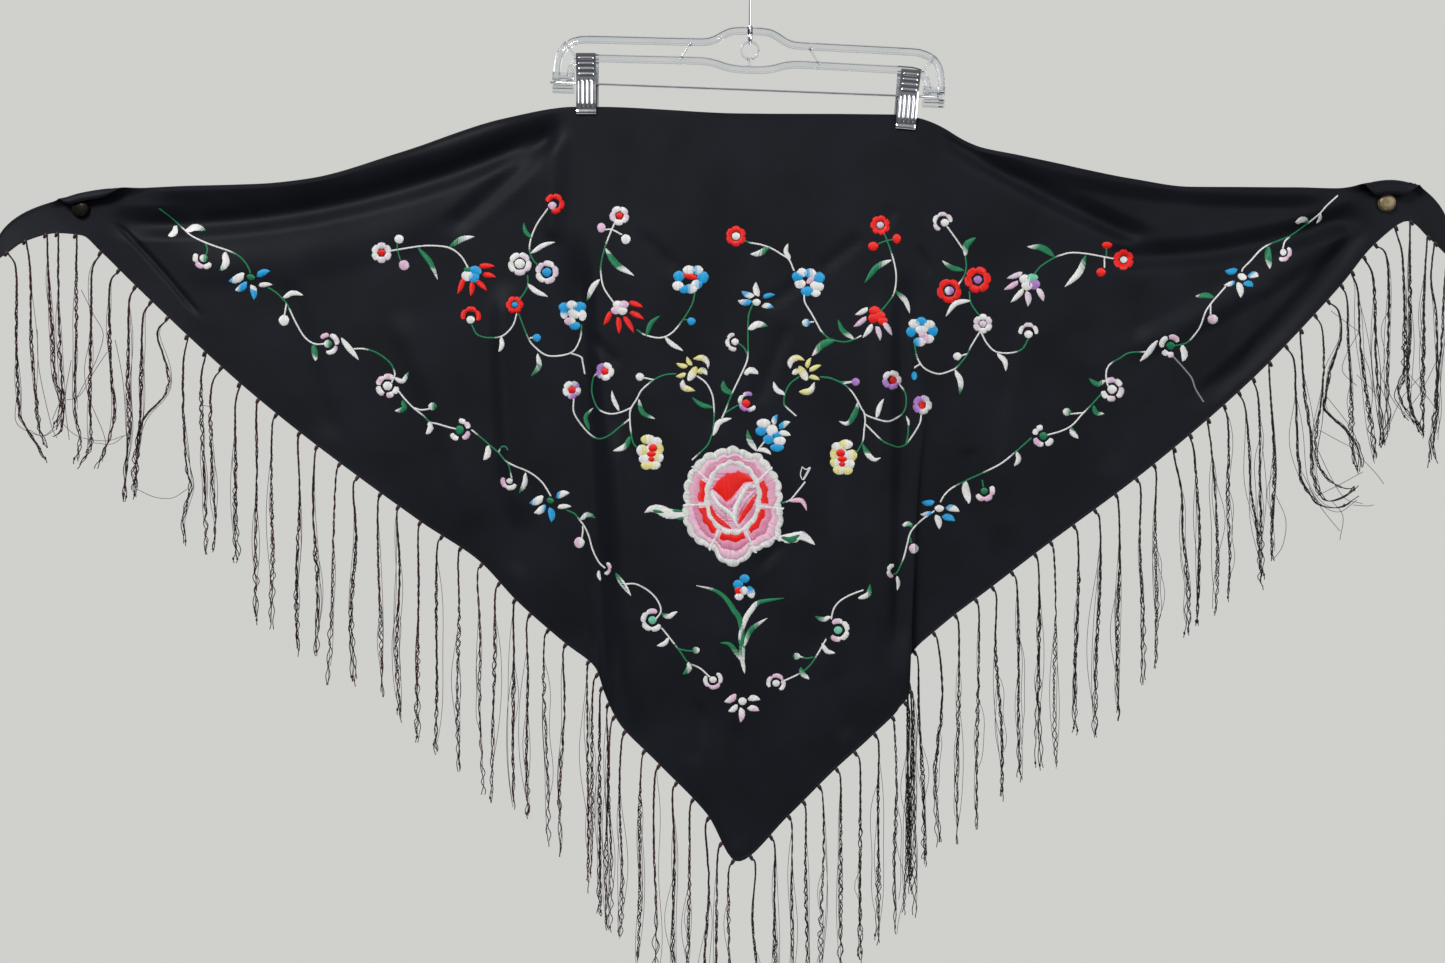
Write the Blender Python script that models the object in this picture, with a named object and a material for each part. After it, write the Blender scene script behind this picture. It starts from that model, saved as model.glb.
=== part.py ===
"""A fringed three-cornered shawl, hung by a clip hanger and two round-headed tacks.

Millimetres in the tables, metres in the meshes. X is to the right as the shawl is seen,
Y is away from the viewer (the front of the cloth faces -Y) and Z is up. The origin is the
inside of the hook's crown, where a rail or a nail carries the hanger.
"""
import math

import bmesh
import bpy
import numpy as np
from mathutils import Matrix, Vector

MM = 0.001

# Cut of the cloth: half of a square, with its long edge on top
HALF_LONG_EDGE = 700.0
TIP_CUT = 8.0
CLOTH_WALL = 1.5
SEAM_GAP = 0.3

# Fringe: a narrow strip parted from the hem, and the locks that hang from it
STRIP_WIDTH = 3.0
LOCK_SPACING = 22.0
LOCK_SIZE = 1.5
LOCK_END_SIZE = 1.0
PAIR_SPACING = 4.0
PAIR_EVERY = 3
ROOT_MARGIN = 0.8
LOCK_LENGTH = 196.0
LOCK_LENGTH_SPREAD = 12.0
LOCK_DROPS = (0.03, 0.10, 0.30, 0.62, 1.0)
LOCK_REACH = 7.0
LOCK_BEND = 7.0
LOCK_SWAY = 3.0

# Top edge where it rolls forward over a tack
ROLL_RADIUS = 4.0
EDGE_BAND = 4.0

# Hanger, in its own level frame about the middle of its ring
HANGER_CENTRE_Z = -90.0
HANGER_TILT = math.radians(2.2)
BAR_HEIGHT = 7.0
BAR_DEPTH = 7.0
ROD_DROP = 34.9
ROD_RADIUS = 1.1
ROD_LEFT_END = -180.0
ROD_RIGHT_END = 173.0
BLOCK_INNER_X = 158.0
BLOCK_OUTER_X = 178.0
BLOCK_HALF_HEIGHT = 9.5
BLOCK_DEPTH = 9.0
RING_OUTER = 9.0
RING_INNER = 6.8
RING_DEPTH = 5.0
POST_WIDTH = 4.5
RIB_WIDTH = 2.2
RIB_DEPTH = 5.0

# Hook
HOOK_INNER_RADIUS = 20.0
HOOK_WIRE_RADIUS = 1.3
HOOK_END_ANGLE = math.radians(205.0)
HOOK_LEAVE_ANGLE = math.radians(-58.0)
STEM_BOTTOM_Z = -85.0
FERRULE_TOP_Z = -67.5
FERRULE_RADIUS = 2.4

# Clips: spring sleeve round the rod, and two sprung leaves
CLIP_WIDTH = 18.0
BACK_LEAF_WIDTH = 20.0
LEAF_THICKNESS = 1.0
SLEEVE_RADIUS = 3.0
SLEEVE_LENGTH = 15.0

# Tacks
TACK_RADIUS = 8.5
TACK_HEIGHT = 4.6
SHANK_RADIUS = 0.9
SHANK_REACH = 9.0
CALM_INNER = 12.0
CALM_OUTER = 34.0

# Top edge, one row for each section: place on the flat cloth, then where it hangs
TOP_EDGE = (
    # flat, x, z, depth
    (-700, -691, -283, 6),
    (-686, -689, -270, 7),
    (-670, -682, -253, 9),
    (-647, -665, -237, 12),
    (-624, -643, -227, 14),
    (-604, -624, -222, 14),
    (-591, -611, -218, 14),
    (-565, -585, -214, 14),
    (-504, -522, -212, 11),
    (-430, -445, -210, 9),
    (-384, -398, -205, 8),
    (-304, -319, -183, 5),
    (-211, -227, -153, 2),
    (-144, -159, -141, 0),
    (-124, -139, -141, 0),
    (0, -12, -147, 0),
    (140, 133, -148, 0),
    (158, 152, -151, 0),
    (222, 214, -178, 2),
    (291, 282, -193, 5),
    (354, 347, -206, 7),
    (408, 402, -213, 9),
    (536, 534, -213, 13),
    (590, 584, -206, 14),
    (608, 600, -208, 14),
    (625, 616, -215, 13),
    (649, 633, -236, 10),
    (669, 639, -256, 8),
    (700, 649, -291, 6),
)

# Hem, one row for each section, in the same columns
HEM = (
    # flat, x, z, depth
    (-700, -691, -283, 6),
    (-679, -675, -272, 7),
    (-663, -663, -263, 9),
    (-629, -632, -254, 13),
    (-606, -610, -256, 14),
    (-591, -594, -270, 14),
    (-558, -559, -304, 12),
    (-454, -446, -407, 8),
    (-329, -299, -518, 8),
    (-286, -247, -553, 9),
    (-252, -213, -589, 9),
    (-210, -170, -627, 10),
    (-182, -141, -651, 11),
    (-152, -131, -676, 5),
    (-122, -119, -699, -3),
    (-83, -82, -737, -4),
    (-38, -39, -782, -3),
    (0, -11, -825, -2),
    (45, 34, -784, -3),
    (87, 75, -743, -4),
    (123, 112, -709, -5),
    (148, 135, -685, -4),
    (180, 142, -662, 4),
    (212, 148, -638, 12),
    (236, 174, -613, 11),
    (275, 219, -578, 10),
    (313, 263, -544, 9),
    (405, 372, -462, 8),
    (483, 459, -386, 8),
    (526, 503, -341, 9),
    (564, 541, -300, 12),
    (597, 572, -263, 14),
    (620, 600, -243, 13),
    (647, 618, -258, 10),
    (700, 649, -291, 6),
)

# Pleat whose layers lap over each other at the hem
LAPPED_PLEAT = {"flat_from": 148.0, "flat_to": 212.0, "swing": 5.0}

# Largest folds, a row each: the line of its trough or ridge, then its bow, width and depth
FOLDS = (
    # x0, z0, x1, z1, bow, half_width, depth
    (-575, -245, -163, -154, -26, 17, 9),
    (-545, -214, -200, -150, -18, 15, -7),
    (-520, -285, -200, -200, -22, 26, -6),
    (-171, -155, -275, -251, -4, 14, 7),
    (-578, -246, -505, -327, 2, 8, 5),
    (-120, -434, -100, -697, 0, 16, -5),
    (-222, -307, -209, -516, -5, 18, -7),
    (-157, -261, -125, -655, 0, 14, 6),
    (173, -166, 363, -262, -3, 15, 8),
    (565, -233, 327, -275, -13, 17, 8),
    (209, -180, 527, -216, -14, 15, -6),
    (567, -236, 409, -407, -8, 15, 6),
    (545, -248, 345, -361, -6, 18, -6),
    (120, -316, 120, -625, 0, 14, -6),
    (147, -198, 139, -643, -8, 12, 5),
)

# Rolled stretches of the top edge, in places on the flat cloth
ROLLS = (
    # start, full_from, full_to, end, extra
    (-624, -597, -574, -522, 13),
    (544, 577, 602, 633, 18),
)

# Tacks and clips: where each one holds the cloth
TACKS = (
    # name, x, z
    ("tack_left", -611.0, -231.7),
    ("tack_right", 581.5, -226.3),
)
CLIPS = (
    # name, place on the rod, lean, width side that faces the middle
    ("clip_left", -148.5, math.radians(0.0), 1.0),
    ("clip_right", 147.0, math.radians(5.0), -1.0),
)

# Profile of a clip's leaf: height above the rod, and the inner face's distance from the rod
LEAF_PROFILE = (
    # z, y
    (-28.0, 1.05),
    (-24.5, 1.5),
    (-18.0, 3.4),
    (-7.0, 3.6),
    (0.0, 3.3),
    (7.0, 3.9),
    (15.0, 5.6),
    (26.0, 8.6),
)

# Bars of the hanger's frame, right half, in its level frame
OUTER_BAR = ((0, 17.8), (17, 17.8), (36, 6.2), (151, 4.5), (165, 0.0), (173, -9), (174.5, -20), (174.5, -30))
INNER_BAR = ((0, -17.3), (17, -17.3), (36, -10.8), (147, -12.5), (157, -15.5), (161.5, -22), (162, -30))
RIBS = (
    # x at top, z at top, x at bottom, z at bottom
    (53.5, 5.0, 63.0, -10.5),
    (167.0, 0.0, 156.0, -14.0),
)

COLOURS = {
    # name: red, green, blue, roughness, metallic
    "cloth": (0.012, 0.014, 0.018, 0.45, 0.0),
    "fringe": (0.010, 0.009, 0.010, 0.35, 0.0),
    "clear_plastic": (0.80, 0.84, 0.86, 0.10, 0.0),
    "chrome": (0.75, 0.76, 0.78, 0.12, 1.0),
    "brass": (0.45, 0.34, 0.16, 0.30, 1.0),
}


def smooth_column(rows, column):
    """A curve through one column of a table that never overshoots its rows."""
    place = np.array([row[0] for row in rows], dtype=float)
    value = np.array([row[column] for row in rows], dtype=float)
    step = np.diff(place)
    slope = np.diff(value) / step
    tangent = np.zeros(len(place))
    tangent[0] = slope[0]
    tangent[-1] = slope[-1]
    for i in range(1, len(place) - 1):
        if slope[i - 1] * slope[i] > 0:
            before = 2 * step[i] + step[i - 1]
            after = step[i] + 2 * step[i - 1]
            tangent[i] = (before + after) / (before / slope[i - 1] + after / slope[i])

    def curve(at):
        i = min(max(int(np.searchsorted(place, at)) - 1, 0), len(step) - 1)
        u = (at - place[i]) / step[i]
        start = value[i] * (1 + 2 * u) * (1 - u) ** 2 + tangent[i] * step[i] * u * (1 - u) ** 2
        end = value[i + 1] * u * u * (3 - 2 * u) + tangent[i + 1] * step[i] * u * u * (u - 1)
        return start + end

    return curve


top_curves = [smooth_column(TOP_EDGE, column) for column in (1, 2, 3)]
hem_curves = [smooth_column(HEM, column) for column in (1, 2, 3)]


def smooth(value):
    """A soft step from 0 to 1."""
    value = min(max(value, 0.0), 1.0)
    return value * value * (3 - 2 * value)


def roll_share(flat):
    """How far the top edge is rolled at this place, from 0 to 1, and the length of its edge band."""
    for start, full_from, full_to, end, extra in ROLLS:
        if start < flat < end:
            rise = smooth((flat - start) / (full_from - start))
            fall = smooth((end - flat) / (end - full_to))
            share = min(rise, fall)
            return share, EDGE_BAND + share * extra
    return 0.0, EDGE_BAND


def roll_point(share, along):
    """Forward and upward reach of the edge, at a length along it from where it starts to turn."""
    if share < 0.01:
        return 0.0, along
    radius = ROLL_RADIUS / share
    angle = min(along / radius, math.pi)
    straight = along - angle * radius
    return -radius * (1 - math.cos(angle)), radius * math.sin(angle) - straight


def fold_depth(x, z):
    """Sum of the folds' depths at a place on the hanging cloth."""
    total = 0.0
    for x0, z0, x1, z1, bow, half_width, depth in FOLDS:
        run_x = x1 - x0
        run_z = z1 - z0
        length = math.hypot(run_x, run_z)
        along = ((x - x0) * run_x + (z - z0) * run_z) / length ** 2
        if not -0.05 < along < 1.05:
            continue
        side = 1.0 if run_x >= 0 else -1.0
        across = side * ((z - z0) * run_x - (x - x0) * run_z) / length
        across -= bow * 4 * along * (1 - along)
        if abs(across) >= half_width:
            continue
        ends = smooth(along / 0.15 + 0.3) * smooth((1 - along) / 0.15 + 0.3)
        total += depth * ends * 0.5 * (1 + math.cos(math.pi * across / half_width))
    return total


def calm(x, z):
    """Nought beside a tack or in a clip's jaws, where the cloth is held flat, and one elsewhere."""
    share = 1.0
    for name, tack_x, tack_z in TACKS:
        share = min(share, smooth((math.hypot(x - tack_x, z - tack_z) - CALM_INNER) / CALM_OUTER))
    for name, place, lean, inner_side in CLIPS:
        rod_z = HANGER_CENTRE_Z - ROD_DROP - place * math.sin(HANGER_TILT)
        share = min(share, smooth((math.hypot(x - place, z - rod_z + 26) - 14.0) / CALM_OUTER))
    return share


def cloth_point(flat, drop):
    """Middle of the cloth's thickness. drop runs -1 to 0 along the edge band and 0 to 1 down to the hem."""
    share, band = roll_share(flat)
    end_angle = band * share / ROLL_RADIUS
    rise = ROLL_RADIUS / share if end_angle > math.pi / 2 else roll_point(share, band)[1]
    top = [curve(flat) for curve in top_curves]
    top[1] -= rise
    hem = [curve(flat) for curve in hem_curves]
    down = max(drop, 0.0)
    x = top[0] + (hem[0] - top[0]) * down
    z = top[1] + (hem[1] - top[1]) * down
    y = top[2] + (hem[2] - top[2]) * down
    lap_from = LAPPED_PLEAT["flat_from"]
    lap_to = LAPPED_PLEAT["flat_to"]
    if lap_from < flat < lap_to:
        turn = 2 * math.pi * (flat - lap_from) / (lap_to - lap_from)
        x += LAPPED_PLEAT["swing"] * math.sin(turn) * smooth(down)
    y += fold_depth(x, z) * calm(x, z)
    if drop < 0:
        forward, upward = roll_point(share, -drop * band)
        y += forward
        z += upward
    return np.array((x, y, z))


def cloth_frame(flat, drop):
    """The point and the cloth's normal there, which points away from the viewer."""
    step = 0.01
    across = cloth_point(flat + 1.0, drop) - cloth_point(flat - 1.0, drop)
    down = cloth_point(flat, drop + step) - cloth_point(flat, drop - step)
    normal = np.cross(across, down)
    return cloth_point(flat, drop), normal / np.linalg.norm(normal)


def hem_frame(flat):
    """A point of the hem, the way out past it in the cloth's surface, and the cloth's normal."""
    point, normal = cloth_frame(flat, 1.0)
    along = cloth_point(flat + 0.5, 1.0) - cloth_point(flat - 0.5, 1.0)
    outward = np.cross(normal, along)
    return point, outward / np.linalg.norm(outward), normal


def between(low, high, share):
    """Hem frame part of the way between two columns, so that it follows the panel's straight edge there."""
    return [a + (b - a) * share for a, b in zip(low, high)]


def make_material(name):
    red, green, blue, roughness, metallic = COLOURS[name]
    material = bpy.data.materials.new(name)
    material.use_nodes = True
    shader = material.node_tree.nodes["Principled BSDF"]
    shader.inputs["Base Color"].default_value = (red, green, blue, 1.0)
    shader.inputs["Roughness"].default_value = roughness
    shader.inputs["Metallic"].default_value = metallic
    material.diffuse_color = (red, green, blue, 1.0)
    return material


def new_object(name, mesh, colour):
    part = bpy.data.objects.new(name, mesh)
    bpy.context.scene.collection.objects.link(part)
    mesh.materials.append(make_material(colour))
    return part


def object_from_bmesh(name, shape, colour, smooth_angle=35.0):
    """Make an object from a bmesh in millimetres."""
    bmesh.ops.recalc_face_normals(shape, faces=shape.faces)
    bmesh.ops.scale(shape, vec=(MM, MM, MM), verts=shape.verts)
    mesh = bpy.data.meshes.new(name)
    shape.to_mesh(mesh)
    shape.free()
    mesh.shade_smooth()
    mesh.set_sharp_from_angle(angle=math.radians(smooth_angle))
    return new_object(name, mesh, colour)


def hide_cutter(cutter):
    cutter.hide_render = True
    cutter.display_type = 'WIRE'


def add_boolean(target, cutter, operation):
    modifier = target.modifiers.new(operation.lower() + "_" + cutter.name, 'BOOLEAN')
    modifier.operation = operation
    modifier.solver = 'EXACT'
    modifier.object = cutter
    hide_cutter(cutter)


def cloth_columns():
    """Places of the grid's columns on the flat cloth: closer together in the pleats and at the tacks."""
    columns = [0.0]
    close = ((-205.0, -105.0, 9.0), (136.0, 222.0, 7.2), (-640.0, -516.0, 11.0), (540.0, 655.0, 11.0))
    place = -HALF_LONG_EDGE + TIP_CUT
    end = HALF_LONG_EDGE - TIP_CUT
    while place < end - 6.0:
        columns.append(place)
        step = 23.0
        for low, high, spacing in close:
            if low <= place < high:
                step = spacing
            elif place < low < place + step:
                step = low - place
        place += step
    columns.append(end)
    columns = sorted(columns)
    return [c for i, c in enumerate(columns) if i == 0 or c - columns[i - 1] > 3.0 or c == end]


def cloth_drops():
    """Rows of the grid, from the free edge over the edge band and down to the hem."""
    band = [-1.0, -0.7, -0.45, -0.2]
    wide_rows = 14
    rows = [(i / wide_rows) ** 1.15 for i in range(wide_rows + 1)]
    return band + rows


def build_panel():
    shape = bmesh.new()
    columns = cloth_columns()
    drops = cloth_drops()
    layers = {}
    for side in (-1.0, 1.0):
        grid = []
        for flat in columns:
            line = []
            for drop in drops:
                point, normal = cloth_frame(flat, drop)
                line.append(shape.verts.new(point + normal * side * CLOTH_WALL / 2))
            grid.append(line)
        layers[side] = grid
    last_column = len(columns) - 1
    last_row = len(drops) - 1
    for side, grid in layers.items():
        for i in range(last_column):
            for j in range(last_row):
                quad = (grid[i][j], grid[i + 1][j], grid[i + 1][j + 1], grid[i][j + 1])
                shape.faces.new(quad if side < 0 else quad[::-1])
    front = layers[-1.0]
    back = layers[1.0]
    for i in range(last_column):
        for j in (0, last_row):
            shape.faces.new((front[i][j], front[i + 1][j], back[i + 1][j], back[i][j]))
    for j in range(last_row):
        for i in (0, last_column):
            shape.faces.new((front[i][j], front[i][j + 1], back[i][j + 1], back[i][j]))
    panel = object_from_bmesh("shawl_panel", shape, "cloth", 60.0)
    for name, x, z in TACKS:
        shape = bmesh.new()
        bmesh.ops.create_cone(shape, cap_ends=True, segments=8, radius1=SHANK_RADIUS + SEAM_GAP,
                              radius2=SHANK_RADIUS + SEAM_GAP, depth=7.0,
                              matrix=Matrix.Rotation(math.pi / 2, 4, 'X'))
        bmesh.ops.translate(shape, vec=(x, tack_cloth_depth(x, z), z), verts=shape.verts)
        add_boolean(panel, object_from_bmesh("hole_" + name, shape, "cloth"), 'DIFFERENCE')
    return panel


def tack_cloth_depth(x, z):
    """Depth of the cloth's middle where a tack holds it."""
    best = None
    for flat_step in range(0, 80):
        flat = math.copysign(560.0 + flat_step, x)
        for drop_step in range(0, 40):
            point = cloth_point(flat, drop_step / 80)
            miss = math.hypot(point[0] - x, point[2] - z)
            if best is None or miss < best[0]:
                best = (miss, point[1])
    return best[1]


def lock_places():
    """Pairs of stations along the hem, one pair for each lock, as distances from the middle of the flat cloth."""
    spacing = LOCK_SPACING / math.sqrt(2)
    width = LOCK_SIZE / math.sqrt(2)
    pair_offset = PAIR_SPACING / math.sqrt(2)
    places = []
    count = int((HALF_LONG_EDGE - TIP_CUT - 8.0) / spacing)
    for i in range(count + 1):
        start = 3.0 + i * spacing
        places.append((start, start + width, i, 0))
        if i % PAIR_EVERY == 0 and i < count:
            places.append((start + pair_offset, start + pair_offset + width, i, 1))
    return places


def clear_of_locks(place):
    """True where a column of the panel's grid is neither inside a lock's root nor right beside one."""
    return all(not near - ROOT_MARGIN < place < far + ROOT_MARGIN for near, far, index, which in lock_places())


def lock_ring(centre, half):
    """Four corners of a lock's section: front and back, near and far along the hem."""
    x, y, z = centre
    return [(x - half, y - half, z), (x + half, y - half, z), (x + half, y + half, z), (x - half, y + half, z)]


def build_fringe(name, side):
    """The strip is a square tube along the hem. Each lock grows from an open place in its lower face."""
    shape = bmesh.new()
    columns = [flat for flat in cloth_columns() if flat * side >= 0]
    columns.sort(key=abs)
    frames = [hem_frame(flat) for flat in columns]
    reach = [abs(flat) for flat in columns]
    stations = [(flat, None) for flat in reach[1:] if clear_of_locks(flat)]
    stations.append((SEAM_GAP, None))
    for near, far, index, which in lock_places():
        stations.append((near, (index, which)))
        stations.append((far, None))
    stations.sort(key=lambda station: station[0])
    rings = []
    for place, lock in stations:
        i = min(max(int(np.searchsorted(reach, place)) - 1, 0), len(reach) - 2)
        share = (place - reach[i]) / (reach[i + 1] - reach[i])
        point, outward, normal = between(frames[i], frames[i + 1], share)
        ring = []
        for beyond in (SEAM_GAP, SEAM_GAP + STRIP_WIDTH):
            ring.append(shape.verts.new(point + outward * beyond - normal * CLOTH_WALL / 2))
            ring.append(shape.verts.new(point + outward * beyond + normal * CLOTH_WALL / 2))
        rings.append(ring)
    # A ring holds: upper front, upper back, lower front, lower back
    walls = ((0, 1), (1, 3), (2, 0))
    for i in range(len(rings) - 1):
        here = rings[i]
        there = rings[i + 1]
        for a, b in walls:
            shape.faces.new((here[a], here[b], there[b], there[a]))
        lock = stations[i][1]
        if lock is None:
            shape.faces.new((here[3], here[2], there[2], there[3]))
        else:
            corners = [here[2], there[2], there[3], here[3]]
            build_lock(shape, corners, side, lock)
    shape.faces.new((rings[0][0], rings[0][2], rings[0][3], rings[0][1]))
    shape.faces.new((rings[-1][1], rings[-1][3], rings[-1][2], rings[-1][0]))
    return object_from_bmesh(name, shape, "fringe", 60.0)


def build_lock(shape, corners, side, lock):
    """A lock of four sides from four corners on the strip, out over the hem and then straight down."""
    index, which = lock
    if side < 0:
        corners = [corners[1], corners[0], corners[3], corners[2]]
    root = sum((corner.co for corner in corners), Vector()) / 4
    wave = math.sin(index * 2.4 + which * 1.1)
    length = LOCK_LENGTH + LOCK_LENGTH_SPREAD * math.sin(index * 1.7 + which * 2.3)
    reach = LOCK_REACH * (0.7 + 0.3 * math.sin(index * 0.9))
    spread = (which - 0.5) * LOCK_SWAY
    previous = corners
    for share in LOCK_DROPS:
        drop = length * share
        x = root.x + side * reach * (1 - math.exp(-drop / LOCK_BEND))
        x += side * spread * share + 1.2 * wave * math.sin(share * math.pi)
        y = root.y + 1.0 * math.sin(index * 1.3) * share
        half = (LOCK_SIZE + (LOCK_END_SIZE - LOCK_SIZE) * share) / 2
        ring = [shape.verts.new(corner) for corner in lock_ring((x, y, root.z - drop), half)]
        for k in range(4):
            shape.faces.new((previous[k], previous[(k + 1) % 4], ring[(k + 1) % 4], ring[k]))
        previous = ring
    shape.faces.new(previous)


def hanger_to_world(x, z, y=0.0):
    """From the hanger's level frame to where it hangs, tilted a little to the right."""
    cos_tilt = math.cos(HANGER_TILT)
    sin_tilt = math.sin(HANGER_TILT)
    return Vector((x * cos_tilt + z * sin_tilt, y, HANGER_CENTRE_Z + z * cos_tilt - x * sin_tilt))


def bar_shape(points, width, depth):
    """A bar of constant width and depth along a line in the hanger's plane."""
    shape = bmesh.new()
    rings = []
    count = len(points)
    for i, (x, z) in enumerate(points):
        before = points[max(i - 1, 0)]
        after = points[min(i + 1, count - 1)]
        run = Vector((after[0] - before[0], after[1] - before[1])).normalized()
        entering = Vector((x - before[0], z - before[1])) if i else Vector((run.x, run.y))
        mitre = 1 / max(run.dot(entering.normalized()), 0.6)
        side = Vector((-run.y, run.x)) * width / 2 * mitre
        ring = []
        for sign_side, sign_depth in ((-1, -1), (1, -1), (1, 1), (-1, 1)):
            place = hanger_to_world(x + side.x * sign_side, z + side.y * sign_side, sign_depth * depth / 2)
            ring.append(shape.verts.new(place))
        rings.append(ring)
    for here, there in zip(rings[:-1], rings[1:]):
        for k in range(4):
            shape.faces.new((here[k], here[(k + 1) % 4], there[(k + 1) % 4], there[k]))
    shape.faces.new(rings[0][::-1])
    shape.faces.new(rings[-1])
    return shape


def mirrored_line(points):
    """The whole line from its right half."""
    return [(-x, z) for x, z in reversed(points[1:])] + list(points)


def build_frame():
    """Outer and inner bar, ribs, end blocks, ring and post, joined into one moulding."""
    frame = object_from_bmesh("hanger_frame", bar_shape(mirrored_line(OUTER_BAR), BAR_HEIGHT, BAR_DEPTH),
                              "clear_plastic")
    pieces = [("inner_bar", bar_shape(mirrored_line(INNER_BAR), BAR_HEIGHT, BAR_DEPTH - 0.6))]
    for sign in (-1, 1):
        label = "left" if sign < 0 else "right"
        for i, (x0, z0, x1, z1) in enumerate(RIBS):
            rib = bar_shape([(sign * x0, z0), (sign * x1, z1)], RIB_WIDTH, RIB_DEPTH)
            pieces.append((f"rib_{label}_{i}", rib))
        block = bar_shape([(sign * BLOCK_INNER_X, -ROD_DROP), (sign * BLOCK_OUTER_X, -ROD_DROP)],
                          2 * BLOCK_HALF_HEIGHT, BLOCK_DEPTH)
        pieces.append((f"block_{label}", block))
    post = bar_shape([(0, -RING_INNER - 8), (0, RING_INNER - 3)], POST_WIDTH, RING_DEPTH - 0.8)
    pieces.append(("post", post))
    pieces.append(("ring", ring_shape()))
    for name, shape in pieces:
        add_boolean(frame, object_from_bmesh(name, shape, "clear_plastic"), 'UNION')
    add_boolean(frame, rod_shape("rod_hole", ROD_RADIUS + SEAM_GAP, ROD_LEFT_END - 4, ROD_RIGHT_END + SEAM_GAP, 10),
                'DIFFERENCE')
    holes = (
        # name, radius, middle, length
        ("ferrule_hole", FERRULE_RADIUS + SEAM_GAP, HANGER_CENTRE_Z + RING_OUTER + 8.0, 15.0),
        ("stem_hole", HOOK_WIRE_RADIUS + SEAM_GAP, HANGER_CENTRE_Z + RING_OUTER - 1.0, 7.0),
    )
    for name, radius, middle, length in holes:
        bore = bmesh.new()
        bmesh.ops.create_cone(bore, cap_ends=True, segments=12, radius1=radius, radius2=radius, depth=length)
        bmesh.ops.translate(bore, vec=(0, 0, middle), verts=bore.verts)
        add_boolean(frame, object_from_bmesh(name, bore, "clear_plastic"), 'DIFFERENCE')
    return frame


def ring_shape():
    """The flat ring in the middle of the frame."""
    shape = bmesh.new()
    segments = 20
    loops = []
    for radius, depth in ((RING_OUTER, -1), (RING_OUTER, 1), (RING_INNER, 1), (RING_INNER, -1)):
        loop = []
        for i in range(segments):
            angle = 2 * math.pi * i / segments
            loop.append(shape.verts.new(hanger_to_world(radius * math.cos(angle), radius * math.sin(angle),
                                                        depth * RING_DEPTH / 2)))
        loops.append(loop)
    for k in range(4):
        here = loops[k]
        there = loops[(k + 1) % 4]
        for i in range(segments):
            j = (i + 1) % segments
            shape.faces.new((here[i], here[j], there[j], there[i]))
    return shape


def rod_shape(name, radius, left, right, segments):
    shape = bmesh.new()
    turn = Matrix.Rotation(HANGER_TILT, 4, 'Y') @ Matrix.Rotation(math.pi / 2, 4, 'Y')
    bmesh.ops.create_cone(shape, cap_ends=True, segments=segments, radius1=radius, radius2=radius,
                          depth=right - left, matrix=turn)
    bmesh.ops.translate(shape, vec=hanger_to_world((left + right) / 2, -ROD_DROP), verts=shape.verts)
    return object_from_bmesh(name, shape, "chrome")


def hook_path():
    """From the hook's free end over the crown, round to the stem and down into the ferrule."""
    radius = HOOK_INNER_RADIUS + HOOK_WIRE_RADIUS
    centre_z = -HOOK_INNER_RADIUS
    points = []
    arc_steps = 26
    for i in range(arc_steps + 1):
        angle = HOOK_END_ANGLE + (HOOK_LEAVE_ANGLE - HOOK_END_ANGLE) * i / arc_steps
        points.append(Vector((radius * math.cos(angle), 0, centre_z + radius * math.sin(angle))))
    leave = points[-1]
    heading = Vector((math.sin(HOOK_LEAVE_ANGLE), 0, -math.cos(HOOK_LEAVE_ANGLE)))
    stem_top = Vector((0, 0, leave.z - 9.0))
    bend_steps = 7
    for i in range(1, bend_steps + 1):
        u = i / bend_steps
        pull = 7.5
        a = leave + heading * pull
        b = stem_top + Vector((0, 0, pull))
        point = leave * (1 - u) ** 3 + a * 3 * u * (1 - u) ** 2 + b * 3 * u * u * (1 - u) + stem_top * u ** 3
        points.append(point)
    points.append(Vector((0, 0, STEM_BOTTOM_Z)))
    return points


def build_hook():
    curve = bpy.data.curves.new("hanger_hook", 'CURVE')
    curve.dimensions = '3D'
    curve.bevel_depth = HOOK_WIRE_RADIUS * MM
    curve.bevel_resolution = 2
    curve.use_fill_caps = True
    points = hook_path()
    spline = curve.splines.new('POLY')
    spline.points.add(len(points) - 1)
    for target, point in zip(spline.points, points):
        target.co = (point.x * MM, point.y * MM, point.z * MM, 1.0)
    hook = bpy.data.objects.new("hanger_hook", curve)
    bpy.context.scene.collection.objects.link(hook)
    curve.materials.append(make_material("chrome"))
    return hook


def build_ferrule():
    """The metal sleeve that holds the hook's stem in the frame."""
    shape = bmesh.new()
    segments = 12
    bottom = HANGER_CENTRE_Z + RING_OUTER + SEAM_GAP
    loops = []
    inner = HOOK_WIRE_RADIUS + SEAM_GAP
    for radius, z in ((FERRULE_RADIUS, bottom), (FERRULE_RADIUS, FERRULE_TOP_Z), (inner, FERRULE_TOP_Z), (inner, bottom)):
        loop = []
        for i in range(segments):
            angle = 2 * math.pi * i / segments
            loop.append(shape.verts.new((radius * math.cos(angle), radius * math.sin(angle), z)))
        loops.append(loop)
    for k in range(4):
        here = loops[k]
        there = loops[(k + 1) % 4]
        for i in range(segments):
            j = (i + 1) % segments
            shape.faces.new((here[i], here[j], there[j], there[i]))
    return object_from_bmesh("hook_ferrule", shape, "chrome")


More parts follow.
